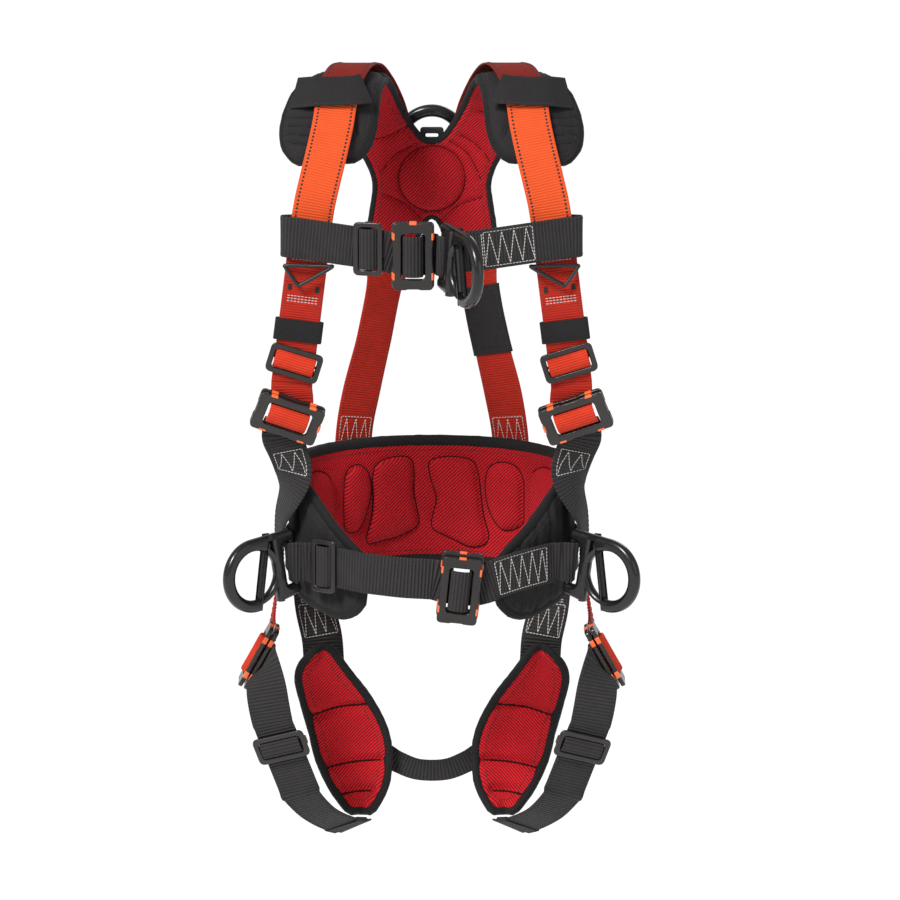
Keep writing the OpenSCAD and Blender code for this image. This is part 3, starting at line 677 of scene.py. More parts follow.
LEG_ROUTE = hook(LEG, 1, 0)[::-1] + [
    [-182, -90, -138, 0.8, -0.1, 0.6], [-179, -97, -160, 0.95, 0, 0.1], [-174.5, -93.8, -184, 0.95, 0, -0.34],
    [-171, -90.9, -194, 0.95, 0, -0.34], [-147, -71, -262, 0.95, 0, -0.34], [-142.5, -67.3, -274, 0.95, 0, -0.2],
    [-124, -48, -298, 0.92, -0.2, 0.1], [-100, -24, -316, 0.9, -0.3, 0.3], [-84, -4, -323, 0.9, -0.2, 0.35]]
SUBPELVIC = [
    [-62, 59, -250, 0, 0.3, 1], [-50, 56, -257, 0, 0.35, 1], [-38, 53, -264, 0, 0.4, 1], [-15, 50, -272, 0, 0.5, 1],
    [15, 50, -272, 0, 0.5, 1], [38, 53, -264, 0, 0.4, 1], [50, 56, -257, 0, 0.35, 1], [62, 59, -250, 0, 0.3, 1]]
SLEEVE = [
    [-154, -20, 502, 0, 0.7, 0.7], [-140, -31, 505.5, 0, 0.7, 0.7], [-126, -40, 508, 0, 0.7, 0.7],
    [-104, -42.5, 509, 0, 0.7, 0.7], [-82, -42, 510, 0, 0.7, 0.7], [-69, -36, 511, 0, 0.7, 0.7],
    [-60, -29, 510.5, 0, 0.7, 0.7]]
TRIANGLE = [[-134, -97.5, 326], [-112, -100, 326], [-110, -100, 324], [-141, -98, 306], [-146, -97.5, 306], [-158, -95, 323], [-157, -95, 326]]
KEEPER = [[-100, -24, -316, 0.9, -0.3, 0.3], [-90, -11.5, -320.5, 0.9, -0.25, 0.33]]
WAIST_EDGES = np.array([
    [0, 87, -45, 0], [30, 87, -46, 0], [60, 86, -47, 0], [88, 85, -48, 0], [105, 74, -52, 2], [120, 50, -60, 7], [133, 24, -66, 9],
    [142, 8, -62, 9], [148, -4, -48, 9]], float)

# ---------------------------------------------------------------- hardware shapes, drawn with X along the webbing, Z across it and the face to -Y


def rect(w, h, r, x=0.0, z=0.0, step=1.5):
    return rounded_loop([[x - w / 2, z - h / 2], [x + w / 2, z - h / 2], [x + w / 2, z + h / 2], [x - w / 2, z + h / 2]], r, step)


def circle(r, x=0.0, z=0.0, n=72):
    a = np.linspace(0, 2 * math.pi, n, endpoint=False)
    return np.stack([x + r * np.cos(a), z + r * np.sin(a)], 1)


def turned(loop, left):
    x, y = loop[:, 0], loop[:, 1]
    area = np.sum(x * np.roll(y, -1) - np.roll(x, -1) * y)
    return loop if (area > 0) == left else loop[::-1]


def bevelled(outer, holes, thick, bevel, steps=4, y=0.0):
    """A flat plate with rounded edges, its middle at y."""
    geo = Geo()
    loops = [turned(np.asarray(outer), True)] + [turned(np.asarray(h), False) for h in holes]
    caps = []
    for loop in loops:
        t = unit(np.roll(loop, -1, 0) - np.roll(loop, 1, 0))
        n = np.stack([-t[:, 1], t[:, 0]], 1)
        around = np.r_[0, np.cumsum(np.linalg.norm(np.diff(loop, axis=0), axis=1))]
        rows, flat = [], []
        for k in range(2 * steps + 2):
            front = k <= steps
            q = k if front else 2 * steps + 1 - k
            a = math.radians(90 * (1 - q / steps))
            h = (thick / 2 - bevel + bevel * math.sin(a)) * (1 if front else -1)
            p = loop + n * bevel * (1 - math.cos(a))
            rows.append(np.stack([p[:, 0], np.full(len(p), y - h), p[:, 1]], 1))
            flat.append(np.stack([around, np.full(len(p), h)], 1))
        geo.grid(rows, flat, close_u=True, flip=True)
        caps.append(loop + n * bevel)
    points = np.vstack(caps)
    edges_, at = [], 0
    for c in caps:
        edges_ += [(at + i, at + (i + 1) % len(c)) for i in range(len(c))]
        at += len(c)
    made = geometry.delaunay_2d_cdt([Vector(p) for p in points], edges_, [], 0, 1e-5)
    flat = np.array([list(v) for v in made[0]])
    tris = np.array([t for t in made[2]])
    middle = flat[tris].mean(1)
    keep = inside(middle, caps[0])
    for c in caps[1:]:
        keep &= ~inside(middle, c)
    tris = tris[keep]
    for side in (1, -1):
        v = np.stack([flat[:, 0], np.full(len(flat), y - side * thick / 2), flat[:, 1]], 1)
        geo.add(v, [tuple(t) if side > 0 else tuple(t[::-1]) for t in tris], flat)
    return geo


def joined(*parts):
    out = Geo()
    for g in parts:
        for v, uv in zip(g.v, g.uv):
            out.v.append(v)
            out.uv.append(uv)
        out.f += [tuple(i + out.n for i in f) for f in g.f]
        out.n += g.n
    return out


def forged_ring():
    a = np.radians(np.linspace(-94, 94, 70))
    arc = np.stack([EYE_X + (EYE_R + RIM) * np.cos(a), (EYE_R + RIM) * np.sin(a)], 1)
    slot = SLOT_W / 2
    foot = rounded_loop([[-BAR_R, -ARM_H], [30, -39.5], [30, 39.5], [-BAR_R, ARM_H], [-BAR_R, slot], [SLOT_X, slot], [SLOT_X, -slot], [-BAR_R, -slot]], 5.9, 1.6)
    mid = foot[(foot[:, 0] < 28)]
    start = np.argmax(mid[:, 1])
    order = np.roll(mid, -start, 0)
    if order[1][0] > order[0][0]:
        order = np.roll(order[::-1], 1, 0)
    outer = np.vstack([arc, order])
    body = bevelled(outer, [circle(EYE_R, EYE_X)], RING_T, 5.4, steps=6)
    bar = tube(Geo(), [[0, 0, z] for z in np.linspace(-slot - 4, slot + 4, 12)], BAR_R, around=20)
    return joined(body, bar)


def plate_shape(w):
    """Outline of a buckle plate with slightly drawn-in long sides."""
    return rounded_loop([
        [-w / 2, -37], [-8, -37], [-6, -36.2], [6, -36.2], [8, -37], [w / 2, -37], [w / 2, -12], [w / 2 - 0.9, -9], [w / 2 - 0.9, 9],
        [w / 2, 12], [w / 2, 37], [8, 37], [6, 36.2], [-6, 36.2], [-8, 37], [-w / 2, 37], [-w / 2, 12], [-w / 2 + 0.9, 9],
        [-w / 2 + 0.9, -9], [-w / 2, -12]], 5.5, 1.2)


def front_plate():
    return bevelled(plate_shape(44), [rect(26, 50, 4)], 4.6, 1.1, y=-11.4)


def back_plate():
    return bevelled(plate_shape(46), [rect(32, 52, 4)], 4.6, 1.1, y=-4.4)


def marks(w, y):
    """Painted marks on a buckle plate's edge."""
    parts = [bevelled(rect(8, 2.6, 0.9, 0, 36.1, 0.6), [], 4.9, 0.5, 2, y)]
    for x in (-1, 1):
        for z in (-22, 22):
            parts.append(bevelled(rect(2.4, 8, 0.9, x * (w / 2 - 1.0), z, 0.6), [], 4.9, 0.5, 2, y))
    return joined(*parts)


def roll_rows(reach, depth, back):
    """Webbing that bulges forwards over a bar, in the hardware's own frame."""
    path = [[-reach, back], [-reach * 0.97, back - depth * 0.45], [-reach * 0.62, back - depth * 0.88], [0, back - depth],
            [reach * 0.62, back - depth * 0.88], [reach * 0.97, back - depth * 0.45], [reach, back]]
    return [[x, y, 0, 0, 0, 1] for x, y in path]


def glide_frame():
    frame_ = bevelled(rect(33, 59, 7), [rect(21, 47, 3.5)], 3.6, 1.3, y=-4)
    bar = tube(Geo(), [[0, 3.6, z] for z in np.linspace(-28, 28, 6)], 1.6, around=12)
    posts = [bevelled(rect(10, 5, 1.5, 0, z), [], 6, 0.8, 2, 0.6) for z in (-26.7, 26.7)]
    return joined(frame_, bar, *posts)


def shift(geo, where, local=(0, 0, 0)):
    base, m = where
    return geo.moved(np.eye(3), local).moved(m, base)


def buckle(prefix, where, roll_mat, mirror=False, drop=0.0):
    front, back = prefix + "_buckle_front", prefix + "_buckle_back"
    d = (0, 0, drop)
    emit(front + "_plate", shift(front_plate(), where, d), "plate", front, mirror=mirror, sharp=40)
    emit(front + "_marks", shift(marks(44, -11.4), where, d), "mark", front, mirror=mirror, sharp=50, replaces=False)
    web = Web(roll_rows(10.2, 9.0, -8.2), 45, 2.2, slack=0)
    emit(front + "_roll", shift(web.skin(), where, d), roll_mat, front, mirror=mirror, replaces=False)
    pins = Geo()
    for x in (-5.5, 5.5):
        tube(pins, [[x, -13.2, -21.5], [x, -14.3, -21.5]], 1.1, around=10)
    emit(front + "_pins", shift(pins, where, d), "white", front, mirror=mirror, sharp=40, replaces=False)
    emit(back + "_plate", shift(back_plate(), where), "plate", back, mirror=mirror, sharp=40)
    emit(back + "_marks", shift(marks(46, -4.4), where), "mark", back, mirror=mirror, sharp=50, replaces=False)


def glide(node, where, roll_mat, mirror=False):
    emit(node + "_frame", shift(glide_frame(), where), "plate", node, mirror=mirror, sharp=40)
    web = Web(roll_rows(9.4, 7.0, -0.6), 45, 2.2, slack=0)
    emit(node + "_roll", shift(web.skin(), where), roll_mat, node, mirror=mirror, replaces=False)


buckle("chest", CHEST, "black")
buckle("waist", WAIST, "black", drop=-5)
# The torso and leg buckles' rolls take the brighter red copy: painted highlight.
for side_name, flip in (("right", False), ("left", True)):
    buckle(side_name + "_torso", TORSO, "roll", flip)
    buckle(side_name + "_leg", LEG, "roll", flip)

torso_top, torso_low = np.array([-139.5, -87, 296.0]), np.array([-151, -87, 204.0])
slant = math.degrees(math.atan2(torso_top[0] - torso_low[0], torso_top[2] - torso_low[2]))


def torso_at(z):
    return torso_top + (torso_low - torso_top) * (torso_top[2] - z) / (torso_top[2] - torso_low[2])


chest_turn = math.degrees(math.atan2(-16.7, 66))
glide("chest_adjuster", (np.array([-68, -115.5, 348.8]), turn("z", chest_turn)), "black")
belt_top, belt_low = np.array([-84, -109.1, -11.0]), np.array([-124, -79.5, -9.6])
waist_turn = math.degrees(math.atan2(belt_top[1] - belt_low[1], belt_top[0] - belt_low[0]))
glide("waist_adjuster", (belt_low + unit(belt_top - belt_low) * 10, turn("z", waist_turn)), "black")
leg_top, leg_low = np.array([-171, -90.9, -194.0]), np.array([-147, -71, -262.0])
leg_way = unit(leg_low - leg_top)
leg_across = np.array([0.95, 0, -0.34])
leg_across = unit(leg_across - (leg_across @ leg_way) * leg_way)
leg_turn = np.stack([leg_way, np.cross(leg_across, leg_way), leg_across], 1)
for side_name, flip in (("right", False), ("left", True)):
    glide(side_name + "_torso_adjuster", (torso_at(217), turn("y", 100 + slant)), "roll", flip)
    glide(side_name + "_leg_adjuster", (leg_top + leg_way * 20, leg_turn), "black", flip)
    node = side_name + "_torso_keeper"
    ring = bevelled(rect(53, 8.4, 3.6), [rect(48, 4.8, 2.2)], 24, 0.7, 2).moved(np.array([[0, 1, 0], [0, 0, 1], [1, 0, 0]]), (0, 0, 0))
    ring = ring.moved(turn("y", 90 + slant), torso_at(252.5))
    emit(node + "_elastic", ring, "binding", node, mirror=flip, sharp=40)

for side_name, flip in (("right", False), ("left", True)):
    emit(side_name + "_hip_ring_forged", forged_ring().moved(HIP, HIP_BAR), "forged", side_name + "_hip_ring", mirror=flip, sharp=60)
    line = smooth(np.array(TRIANGLE + TRIANGLE[:1], float), 10)[:-1]
    emit(side_name + "_triangle_ring_wire", tube(Geo(), line, 2.2, closed=True, around=14), "wire", side_name + "_triangle_ring", mirror=flip)
emit("sternal_ring_forged", forged_ring().moved(STERNAL, STERNAL_BAR), "forged", "sternal_ring", sharp=60)
emit("dorsal_ring_forged", forged_ring().moved(DORSAL, DORSAL_BAR), "forged", "dorsal_ring", sharp=60)

plate_outline = rounded_loop([
    [-27, 346], [27, 346], [27, 430], [13, 430], [13, 438], [-13, 438], [-13, 430], [-27, 430]], 6, 1.5)
plate = bevelled(plate_outline, [rect(14, 4, 1.8, 0, 429, 0.8), rect(30, 3, 1.4, 0, 412, 0.8), rect(30, 3, 1.4, 0, 356, 0.8)], 4.6, 1.2, y=129)
barrel = bevelled(circle(7, n=40), [circle(4.5, n=40)], 40, 0.8, 2).moved(turn("z", 90), DORSAL_BAR)
bridge = bevelled(rect(40, 8, 1.5, 0, 367), [], 8, 1, 2, y=134)
emit("dorsal_plate_moulded", joined(plate, barrel, bridge), "plastic", "dorsal_plate", sharp=40)

# ---------------------------------------------------------------- webbing


def strap(node, rows, mat, seed, mirror=False, width=45.0, thick=2.4, face=1, threads="dark", slack=0.35):
    web = Web(rows, width, thick, seed, slack=slack)
    emit(node + "_web", web.skin(), mat, node, mirror=mirror)
    geo = edges(Geo(), web, face=face)
    edges(geo, web, face=-face)
    emit(node + "_edge_stitching", geo, threads, node, mirror=mirror, replaces=False)
    return web


def sewing(name, node, geo, mat, mirror=False):
    emit(name, geo, mat, node, mirror=mirror, replaces=False)


def nearest(web, point):
    return float(web.s[np.argmin(np.linalg.norm(web.p - np.array(point, float), axis=1))])


for seed, (side_name, flip) in enumerate((("right", False), ("left", True))):
    node = side_name + "_shoulder_strap"
    web = Web(SHOULDER, seed=3 + seed)
    under_sleeve = nearest(web, [-101, -38, 505])
    emit(node + "_upper_web", web.skin(s1=under_sleeve), "deep", node, mirror=flip)
    emit(node + "_web", web.skin(s0=under_sleeve), "orange", node, mirror=flip)
    geo = edges(Geo(), web, inset=4.4, dash=2.8, gap=2.1, radius=1.3)
    edges(geo, web, inset=4.4, face=-1, dash=2.8, gap=2.1, radius=1.3)
    emit(node + "_edge_stitching", geo, "dark", node, mirror=flip, replaces=False)

    node = side_name + "_torso_strap"
    web = strap(node, TORSO_WEB, "red", 5 + seed, flip, threads="rust", slack=0.2)
    geo = Geo()
    for z0 in (334, 288):
        s0 = nearest(web, [-138, -87, z0])
        for k in (-3, 0, 3):
            thread(geo, on(web), [(s0 + k, -17), (s0 + k, 17)], dash=3, gap=0.8)
    sewing(node + "_bar_stitches", node, geo, "white", flip)
    geo = Geo()
    for w in (-15, 15):
        s0 = nearest(web, [-138, -87, 300])
        for k in np.arange(-3, 3.1, 0.75):
            thread(geo, on(web), [(s0 + k, w - 2.5), (s0 + k, w + 2.5)], dash=5, gap=0.1)
    sewing(node + "_tacks", node, geo, "dark", flip)

    node = side_name + "_side_strap"
    web = strap(node, SIDE, "black", 8 + seed, flip)
    s0 = nearest(web, [-154, -62, 100])
    geo = zigzag(Geo(), web, s0 - 16, s0 + 12, reach=15, along=True, pitch=8)
    zigzag(geo, web, web.length - 46, web.length - 8, face=-1, reach=16, pitch=6)
    sewing(node + "_bar_stitches", node, geo, "white", flip)

    node = side_name + "_back_strap"
    web = strap(node, BACK, "red", 12 + seed, flip, threads="rust")
    geo = Geo()
    s0 = nearest(web, [-86, 111, 96])
    zigzag(geo, web, s0 - 18, s0 + 18, reach=17, pitch=5.5)
    zigzag(geo, web, s0 - 18, s0 + 18, face=-1, reach=17, pitch=5.5)
    sewing(node + "_bar_stitches", node, geo, "white", flip)

    node = side_name + "_leg_web"
    web = strap(node, LEG_WEB, "black", 16 + seed, flip)
    geo = Geo()
    s0 = nearest(web, [-126, 55, -103])
    zigzag(geo, web, s0 - 20, s0 + 16, reach=17, pitch=6)
    for k in (-28, -25.5, -23):
        thread(geo, on(web), [(s0 + k, -16), (s0 + k, 16)], dash=3, gap=0.8)
    sewing(node + "_bar_stitches", node, geo, "white", flip)

    node = side_name + "_leg_side_strap"
    web = strap(node, LEG_SIDE, "red", 20 + seed, flip, threads="rust")
    s0 = nearest(web, [-170, 16, -50])
    sewing(node + "_bar_stitches", node, zigzag(Geo(), web, s0 - 18, s0 + 14, face=-1, reach=16, pitch=6), "white", flip)

    node = side_name + "_leg_strap"
    web = strap(node, LEG_ROUTE, "black", 24 + seed, flip, slack=0.2)
    tab = Geo()
    for f in (1, -1):
        zigzag(tab, web, web.length - 16, web.length - 4, face=f, reach=17, pitch=5, box=False)
    sewing(node + "_end_tack", node, tab, "dark", flip)

    node = side_name + "_leg_keeper"
    web = Web(KEEPER, 48, 5.4, slack=0, step=1.5)
    emit(node + "_sleeve", web.skin(), "cloth", node, mirror=flip)
    sewing(node + "_stitching", node, edges(Geo(), web, s0=1, inset=2.5), "dark", flip)

    node = side_name + "_shoulder_sleeve"
    web = Web(SLEEVE, 38, 1.6, slack=0.5, step=2, seed=31 + seed)
    emit(node + "_fabric", web.skin(s0=6, s1=web.length - 14), "cloth", node, mirror=flip)
    sewing(node + "_stitching", node, edges(Geo(), web, inset=2.6, s0=8, s1=web.length - 16), "dark", flip)

web = strap("right_chest_strap", CHEST_RIGHT, "black", 41, slack=0.1)
web = strap("left_chest_strap", CHEST_LEFT, "black", 43, slack=0.1)
s0, s1 = nearest(web, [56, -116.4, 348]), nearest(web, [112, -104, 353])
geo = zigzag(Geo(), web, s0, s1, reach=17.5, pitch=7, along=False)
thread(geo, on(web), [(s0 - 2.2, -18), (s0 - 2.2, 18)], dash=3, gap=0.7)
sewing("left_chest_strap_bar_stitches", "left_chest_strap", geo, "white")
geo = Geo()
s0 = nearest(web, [13, -136, 344])
for w in np.arange(-16, 17, 6.4):
    thread(geo, on(web), [(s0 - 5, w), (s0 + 5, w)], dash=2.6, gap=0.8)
sewing("left_chest_strap_loop_stitches", "left_chest_strap", geo, "dark")

web = strap("right_belt_front", BELT_RIGHT, "black", 47, face=-1, slack=0.1)
web = strap("left_belt_front", BELT_LEFT, "black", 49, slack=0.1)
s0, s1 = nearest(web, [72, -120, -17]), nearest(web, [124, -80, -10])
geo = zigzag(Geo(), web, s0, s1, reach=17.5, pitch=7, along=False)
sewing("left_belt_front_bar_stitches", "left_belt_front", geo, "white")

belt_gap = 16 / 2 + 2.4 / 2 + 0.8
web = strap("belt_back", [
    [(150 + belt_gap) * math.sin(math.radians(a)), (115 + belt_gap) * math.cos(math.radians(a)), -8, 0, 0, 1]
    for a in range(-104, 105, 8)], "black", 51, face=-1, slack=0.1)
geo = Geo()
for a in (-88, -52, 52, 88):
    s0 = nearest(web, [(150 + belt_gap) * math.sin(math.radians(a)), (115 + belt_gap) * math.cos(math.radians(a)), -8])
    zigzag(geo, web, s0 - 16, s0 + 16, face=-1, reach=16, pitch=6)
sewing("belt_back_bar_stitches", "belt_back", geo, "white")

strap("subpelvic_strap", SUBPELVIC, "black", 53, width=24, slack=0.2)
# The sleeve follows the left back strap, which is the mirror image of the right one
web = Web(BACK, 49, 5.4, seed=13)
s0, s1 = nearest(web, [-52.5, 117.6, 262]), nearest(web, [-68, 109.7, 188])
emit("label_sleeve_fabric", web.skin(s0=s0, s1=s1), "cloth", "label_sleeve", mirror=True)
geo = edges(Geo(), web, inset=3, s0=s0 + 3, s1=s1 - 3)
edges(geo, web, inset=3, s0=s0 + 3, s1=s1 - 3, face=-1)
for s in (s0 + 4, s1 - 4):
    for face in (-1, 1):
        thread(geo, on(web, face), [(s, -21), (s, 21)])
sewing("label_sleeve_stitching", "label_sleeve", geo, "dark", True)

# ---------------------------------------------------------------- padded pieces


def with_normals(point, sign=-1):
    def surface(u, v):
        u, v = np.asarray(u, float), np.asarray(v, float)
        du, dv = point(u + 0.5, v) - point(u - 0.5, v), point(u, v + 0.5) - point(u, v - 0.5)
        return point(u, v), unit(np.cross(du, dv)) * sign
    return surface


def pad_pieces(node, pad, front, back, edge, mirror=False, pipe=(4.6, 4.3)):
    """The pad's two faces are one padded piece; the binding and seams ride with it."""
    body = joined(pad.skin(-1), pad.skin(1))
    o = emit(node + "_padding", body, front, node, mirror=mirror)
    if back != front:
        o.data.materials.append(MAT[back])
        split = len(pad.tris)
        for i, poly in enumerate(o.data.polygons):
            poly.material_index = 1 if i >= split else 0
    emit(node + "_binding", pad.piping(*pipe), edge, node, mirror=mirror, replaces=False)
    geo = Geo()
    for face in (-1, 1):
        loop = inset_loop(pad.loop, pipe[0] + 2.2)
        pad.stitches(geo, np.vstack([loop, loop[:1]])[::3], face)
    emit(node + "_binding_stitches", geo, "dark", node, mirror=mirror, replaces=False)
    return o


# Back yoke: x across, v up the bend
YOKE_Y, YOKE_Z, YOKE_R = 114, 411, 104


def yoke_point(x, v):
    a = np.clip(v - YOKE_Z, 0, None) / YOKE_R
    y = np.where(v > YOKE_Z, YOKE_Y - YOKE_R + YOKE_R * np.cos(a), YOKE_Y)
    z = np.where(v > YOKE_Z, YOKE_Z + YOKE_R * np.sin(a), v)
    return np.stack([x + 0 * v, y, z], -1)


def up_the_bend(z):
    return YOKE_Z + YOKE_R * math.asin((z - YOKE_Z) / YOKE_R) if z > YOKE_Z else z


half = [[0, 423], [13, 427], [26, 446], [37, 468], [56, 512], [98, 512], [94, 463], [84, 425], [68, 402], [60, 378], [63, 356],
        [68, 325], [66, 292], [30, 292], [17, 318], [10, 336], [0, 344]]
half = [[x, up_the_bend(z)] for x, z in half]
yoke_outline = rounded_loop(half + [[-x, z] for x, z in half[-2:0:-1]], 13, 2.4)
boss = np.array([0, 384.0])
yoke_seams = [smooth([[x, up_the_bend(z)] for x, z in line], 6) for line in (
    [[-74, 426], [-50, 432], [-27, 445]], [[-54, 393], [-41, 410], [-15, 425]], [[-52, 366], [-30, 356], [-12, 339]],
    [[52, 465], [70, 452], [85, 435]], [[33, 433], [51, 420], [65, 402]], [[20, 426], [41, 410], [54, 383]],
    [[11, 338], [30, 354], [55, 362]])]


ring = circle(36.5, *boss, n=72)
yoke_seams.append(np.vstack([ring, ring[:1]]))


def yoke_heights(flat, d, face):
    seam = np.min([to_polyline(flat, s) for s in yoke_seams], axis=0)
    h = 2.6 + (4.4 if face < 0 else 3.4) * dome(np.minimum(d, seam + 2), 15)
    if face < 0:
        boss_depth = np.clip(36.5 - np.linalg.norm(flat - boss, axis=1), 0, None)
        h = h + 6.5 * dome(boss_depth, 30)
    return np.maximum(h - 1.6 * groove(seam, 2.2), 1.2)


pad = Pad(yoke_outline, with_normals(yoke_point), yoke_heights, 2.1, [yoke_seams[-1]])
pad_pieces("back_yoke_pad", pad, "mesh", "cloth", "binding")
geo = Geo()
for line in yoke_seams:
    pad.stitches(geo, line, 1)
emit("back_yoke_pad_quilting", geo, "rust", "back_yoke_pad", replaces=False)
# Dark cords in the seam grooves and round the boss: painted shade along the yoke's seams.
emit("back_yoke_pad_painted_shade_seams", joined(*[pad.seam(line, -1) for line in yoke_seams]), "seam", "back_yoke_pad", replaces=False)

# Shoulder pads: w across, l down the shoulder
line_rows = smooth([
    [-77, 31, 510, 27], [-90, 8, 516, 38], [-102, -16, 508, 45], [-109, -36, 490, 49], [-113, -50, 469, 50],
    [-116, -60, 450, 44], [-118, -66, 436, 28]], 16)
run = np.r_[0, np.cumsum(np.linalg.norm(np.diff(line_rows[:, :3], axis=0), axis=1))]


def shoulder_point(w, l):
    x, y, z, reach = (np.interp(l, run, line_rows[:, k]) for k in range(4))
    s = w / reach
    return np.stack([x + w, y + np.where(s < 0, 14, 4) * s * s, z - 6 * s * s], -1)


ls = np.linspace(0, run[-1], 30)
reach = np.interp(ls, run, line_rows[:, 3]) - 1.5
shoulder_outline = rounded_loop(np.vstack([np.stack([reach, ls], 1), np.stack([-reach, ls], 1)[::-1]])[::2], 9, 2.6)
quilt = [np.array([[-43 + k * 1.5, run[-1] - 50 + k * 9], [-14, run[-1] - 48 + k * 10.5]]) for k in range(4)]
quilt += [np.array([[24, run[-1] - 52], [34, run[-1] - 30]]), np.array([[-34, 40], [-10, 36]])]


def shoulder_heights(flat, d, face):
    h = 2.4 + 4.4 * dome(d, 12)
    h = h + 0.35 * np.sin(flat[:, 0] * 0.3 + flat[:, 1] * 0.2) * dome(d, 8)
    seam = np.min([to_polyline(flat, q) for q in quilt], axis=0)
    return np.maximum(h - 2.6 * groove(seam, 2.4), 1.2)


pad = Pad(shoulder_outline, with_normals(shoulder_point), shoulder_heights, 3.2)
for side_name, flip in (("right", False), ("left", True)):
    node = side_name + "_shoulder_pad"
    pad_pieces(node, pad, "cloth", "cloth", "binding", flip, pipe=(4.8, 4.0))
    # Near-black cords sunk in the quilting grooves: painted shade along the quilting.
    geo = joined(*[pad.seam(q, face, 1.2, 0.5) for q in quilt for face in (-1, 1)])
    emit(node + "_quilting", geo, "binding", node, mirror=flip, replaces=False)

# Waist pad: u round the waist from the back, z up
PER_DEGREE = 2.32


def waist_point(u, z):
    a = u / PER_DEGREE
    inset = np.interp(np.abs(a), WAIST_EDGES[:, 0], WAIST_EDGES[:, 3])
    r = np.radians(a)
    return np.stack([(150 - inset) * np.sin(r), (115 - inset) * np.cos(r), z + 0 * u], -1)


edge_rows = smooth(WAIST_EDGES, 8)
top = np.stack([edge_rows[:, 0] * PER_DEGREE, edge_rows[:, 1]], 1)
bottom = np.stack([edge_rows[:, 0] * PER_DEGREE, edge_rows[:, 2]], 1)
waist_outline = np.vstack([top[::-1] * [-1, 1], top[1:], bottom[::-1], bottom[1:] * [-1, 1]])
waist_outline = rounded_loop(waist_outline[::3], 10, 3.2)
shapes = [
    [[-25.5, 64], [-17, 71], [-8.8, 70], [-7.6, 52], [-8.4, 32], [-6.5, 10], [-5.2, -8], [-14, -20], [-29, -27],
     [-29.5, -18], [-27, 0], [-26, 20], [-26.5, 45]],
    [[-2, 66], [8, 71], [18.5, 67], [20.5, 50], [21.3, 31], [22.5, 5], [25.5, -18], [24, -28], [17, -33], [8, -22],
     [-0.6, -12], [0.5, 5], [2.5, 22], [-0.5, 45]],
    [[-41, 50], [-39, 61], [-34, 66], [-29, 58], [-26.7, 40], [-28.5, 15], [-32, -5], [-36, -13], [-41, -8], [-41.5, 20]],
    [[23.5, 45], [25.5, 62], [32, 68], [40, 64], [43.6, 50], [43.6, 0], [38, -8], [32, -11], [27, 2], [24, 22]],
    [[-76, 50], [-68, 62], [-60, 66], [-50, 58], [-47, 30], [-50, 0], [-60, -16], [-72, 0], [-76, 25]],
    [[49, 62], [58, 70], [70, 64], [77, 48], [70, 25], [60, 4], [52, -6], [48, 20]],
    [[80, 62], [90, 64], [98, 54], [98, 10], [92, -30], [84, -30], [79, 10]],
    [[-80, 62], [-90, 64], [-98, 54], [-98, 10], [-92, -30], [-84, -30], [-79, 10]]]
cells = []
for shape in shapes:
    cell = rounded_loop([[a * PER_DEGREE, z] for a, z in shape], 12, 2.4)
    cells.append(np.vstack([cell, cell[:1]]))
wing_lines = [np.array([[sx * a * PER_DEGREE, z0], [sx * a * PER_DEGREE, z1]]) for sx in (-1, 1)
              for a, z0, z1 in ((96, -48, 74), (108, -50, 66), (119, -56, 48), (129, -60, 28), (138, -58, 10))]


def waist_heights(flat, d, face):
    h = 2.8 + (1.2 if face < 0 else 4.8) * dome(d, 14)
    if face < 0:
        for c in cells:
            depth = to_polyline(flat, c)
            h = h + np.where(inside(flat, c[:-1]), 8.0 * dome(depth, 17), 0) - 1.4 * groove(depth, 2.5)
    wing = np.min([to_polyline(flat, q) for q in wing_lines], axis=0)
    h = h - (1.8 if face > 0 else 1.2) * groove(wing, 3.0)
    pucker = np.clip((np.abs(flat[:, 0]) / PER_DEGREE - 92) / 20, 0, 1)
    h = h + 0.8 * pucker * np.sin(flat[:, 0] * 0.5 + 2 * np.sin(flat[:, 1] * 0.1)) * groove(d - 12, 9) * (face > 0)
    return np.maximum(h, 1.4)


pad = Pad(waist_outline, with_normals(waist_point), waist_heights, 2.8, cells)
pad_pieces("waist_pad", pad, "mesh", "cloth", "binding", pipe=(7.0, 4.8))
# Dark cords round each cell: painted shade in the grooves between the cells.
geo = joined(*[pad.seam(c, -1, 1.3, 0.2) for c in cells])
emit("waist_pad_painted_shade_seams", geo, "seam", "waist_pad", replaces=False)
geo = Geo()
for q in wing_lines:
    pad.stitches(geo, q, 1)
emit("waist_pad_quilting", geo, "dark", "waist_pad", replaces=False)

# Thigh pads: x across, z down
leg_rows = smooth([
    [-131, -109, 36, -130], [-149, -92, 42, -156], [-144, -68, 50, -190], [-134, -51, 53, -226], [-127, -47, 50, -256],
    [-112, -51, 40, -288], [-92, -66, 24, -312]], 10)


def leg_point(x, z):
    left, right, y = (np.interp(-z, -leg_rows[:, 3], leg_rows[:, k]) for k in range(3))
    s = (x - (left + right) / 2) / ((right - left) / 2)
    return np.stack([x + 0 * z, y - 12 * np.clip(s * s, 0, 1.3), z + 0 * x], -1)


leg_outline = rounded_loop(np.vstack([leg_rows[:, [0, 3]][::4] + [1.5, 0], (leg_rows[:, [1, 3]] - [1.5, 0])[::-4]]), 9, 2.6)
dividers = [np.array(line, float) for line in (
    [[-138, -210], [-104, -200], [-66, -194]], [[-120, -268], [-88, -263], [-56, -259]], [[-101, -296], [-66, -293]])]


def leg_heights(flat, d, face):
    h = 2.6 + 5.4 * dome(d, 16)
    seam = np.min([to_polyline(flat, q) for q in dividers], axis=0)
    return np.maximum(h - 5.6 * groove(seam, 5.5), 1.4)


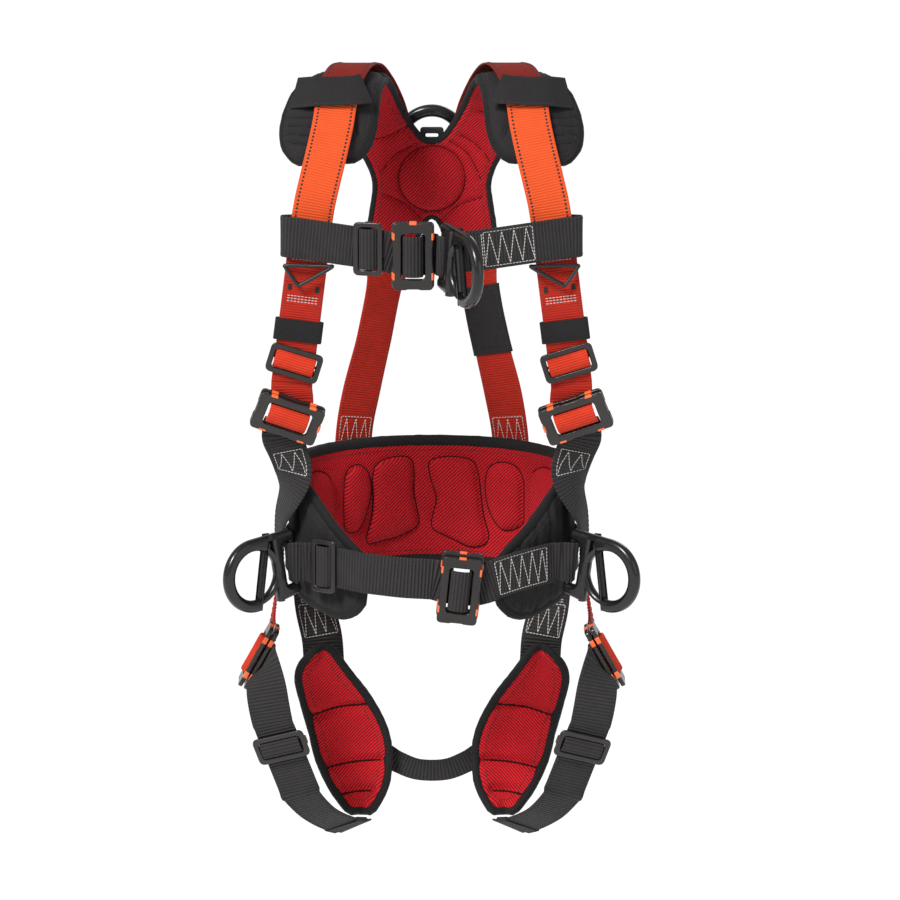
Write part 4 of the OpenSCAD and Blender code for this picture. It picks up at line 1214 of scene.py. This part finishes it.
pad = Pad(leg_outline, with_normals(leg_point), leg_heights, 2.9)
for side_name, flip in (("right", False), ("left", True)):
    node = side_name + "_leg_pad"
    pad_pieces(node, pad, "bright", "cloth", "binding", flip, pipe=(5.2, 4.6))
    # Dark cords in the divider grooves: painted shade along the leg pad's seams.
    geo = joined(*[pad.seam(q, -1) for q in dividers])
    emit(node + "_seams", geo, "seam", node, mirror=flip, replaces=False)

# ---------------------------------------------------------------- floor, light and camera

FLOOR_REACH, FLOOR_Z = 60, -1.1
floor_mesh = bpy.data.meshes.new("floor")
corners = [(x * FLOOR_REACH, y * FLOOR_REACH, FLOOR_Z) for x, y in ((-1, -1), (1, -1), (1, 1), (-1, 1))]
floor_mesh.from_pydata(corners, [], [(0, 1, 2, 3)])
floor = bpy.data.objects.new("floor", floor_mesh)
bpy.context.scene.collection.objects.link(floor)
paper = bpy.data.materials.new("pale_floor")
paper.use_nodes = True
paper.node_tree.nodes["Principled BSDF"].inputs["Base Color"].default_value = (0.95, 0.95, 0.95, 1)
paper.node_tree.nodes["Principled BSDF"].inputs["Roughness"].default_value = 0.95
floor_mesh.materials.append(paper)

world = bpy.context.scene.world or bpy.data.worlds.new("studio")
bpy.context.scene.world = world
world.use_nodes = True
world.node_tree.nodes["Background"].inputs[0].default_value = (1, 0.99, 0.98, 1)
world.node_tree.nodes["Background"].inputs[1].default_value = 0.42
bpy.context.scene.view_settings.view_transform = "Standard"


def light(name, kind, place, target, power):
    data = bpy.data.lights.new(name, kind)
    data.energy = power
    o = bpy.data.objects.new(name, data)
    bpy.context.scene.collection.objects.link(o)
    o.location = place
    o.rotation_euler = (Vector(target) - Vector(place)).to_track_quat("-Z", "Y").to_euler()
    return data


def softbox(name, place, target, size, power):
    data = light(name, "AREA", place, target, power)
    data.shape = "RECTANGLE"
    data.size, data.size_y = size, size


middle = Vector((0.02, 0, 0.101))
light("sun", "SUN", middle + Vector((-0.42, -0.6, 0.72)) * 3, middle, 3.1).angle = math.radians(18)
softbox("key", (-1.3, -1.9, 1.9), middle, 1.0, 16)
softbox("fill", (1.8, -1.7, 0.9), middle, 1.4, 7)
softbox("rim", (0.9, 2.2, 1.3), middle, 1.0, 12)

camera_data = bpy.data.cameras.new("camera")
camera = bpy.data.objects.new("camera", camera_data)
bpy.context.scene.collection.objects.link(camera)
camera_data.lens = 437
camera_data.sensor_width = 36
camera_data.clip_end = 200
tilt = math.radians(12)
camera.location = middle + Vector((0, -math.cos(tilt), math.sin(tilt))) * 12
camera.rotation_euler = (middle - camera.location).to_track_quat("-Z", "Y").to_euler()
bpy.context.scene.camera = camera
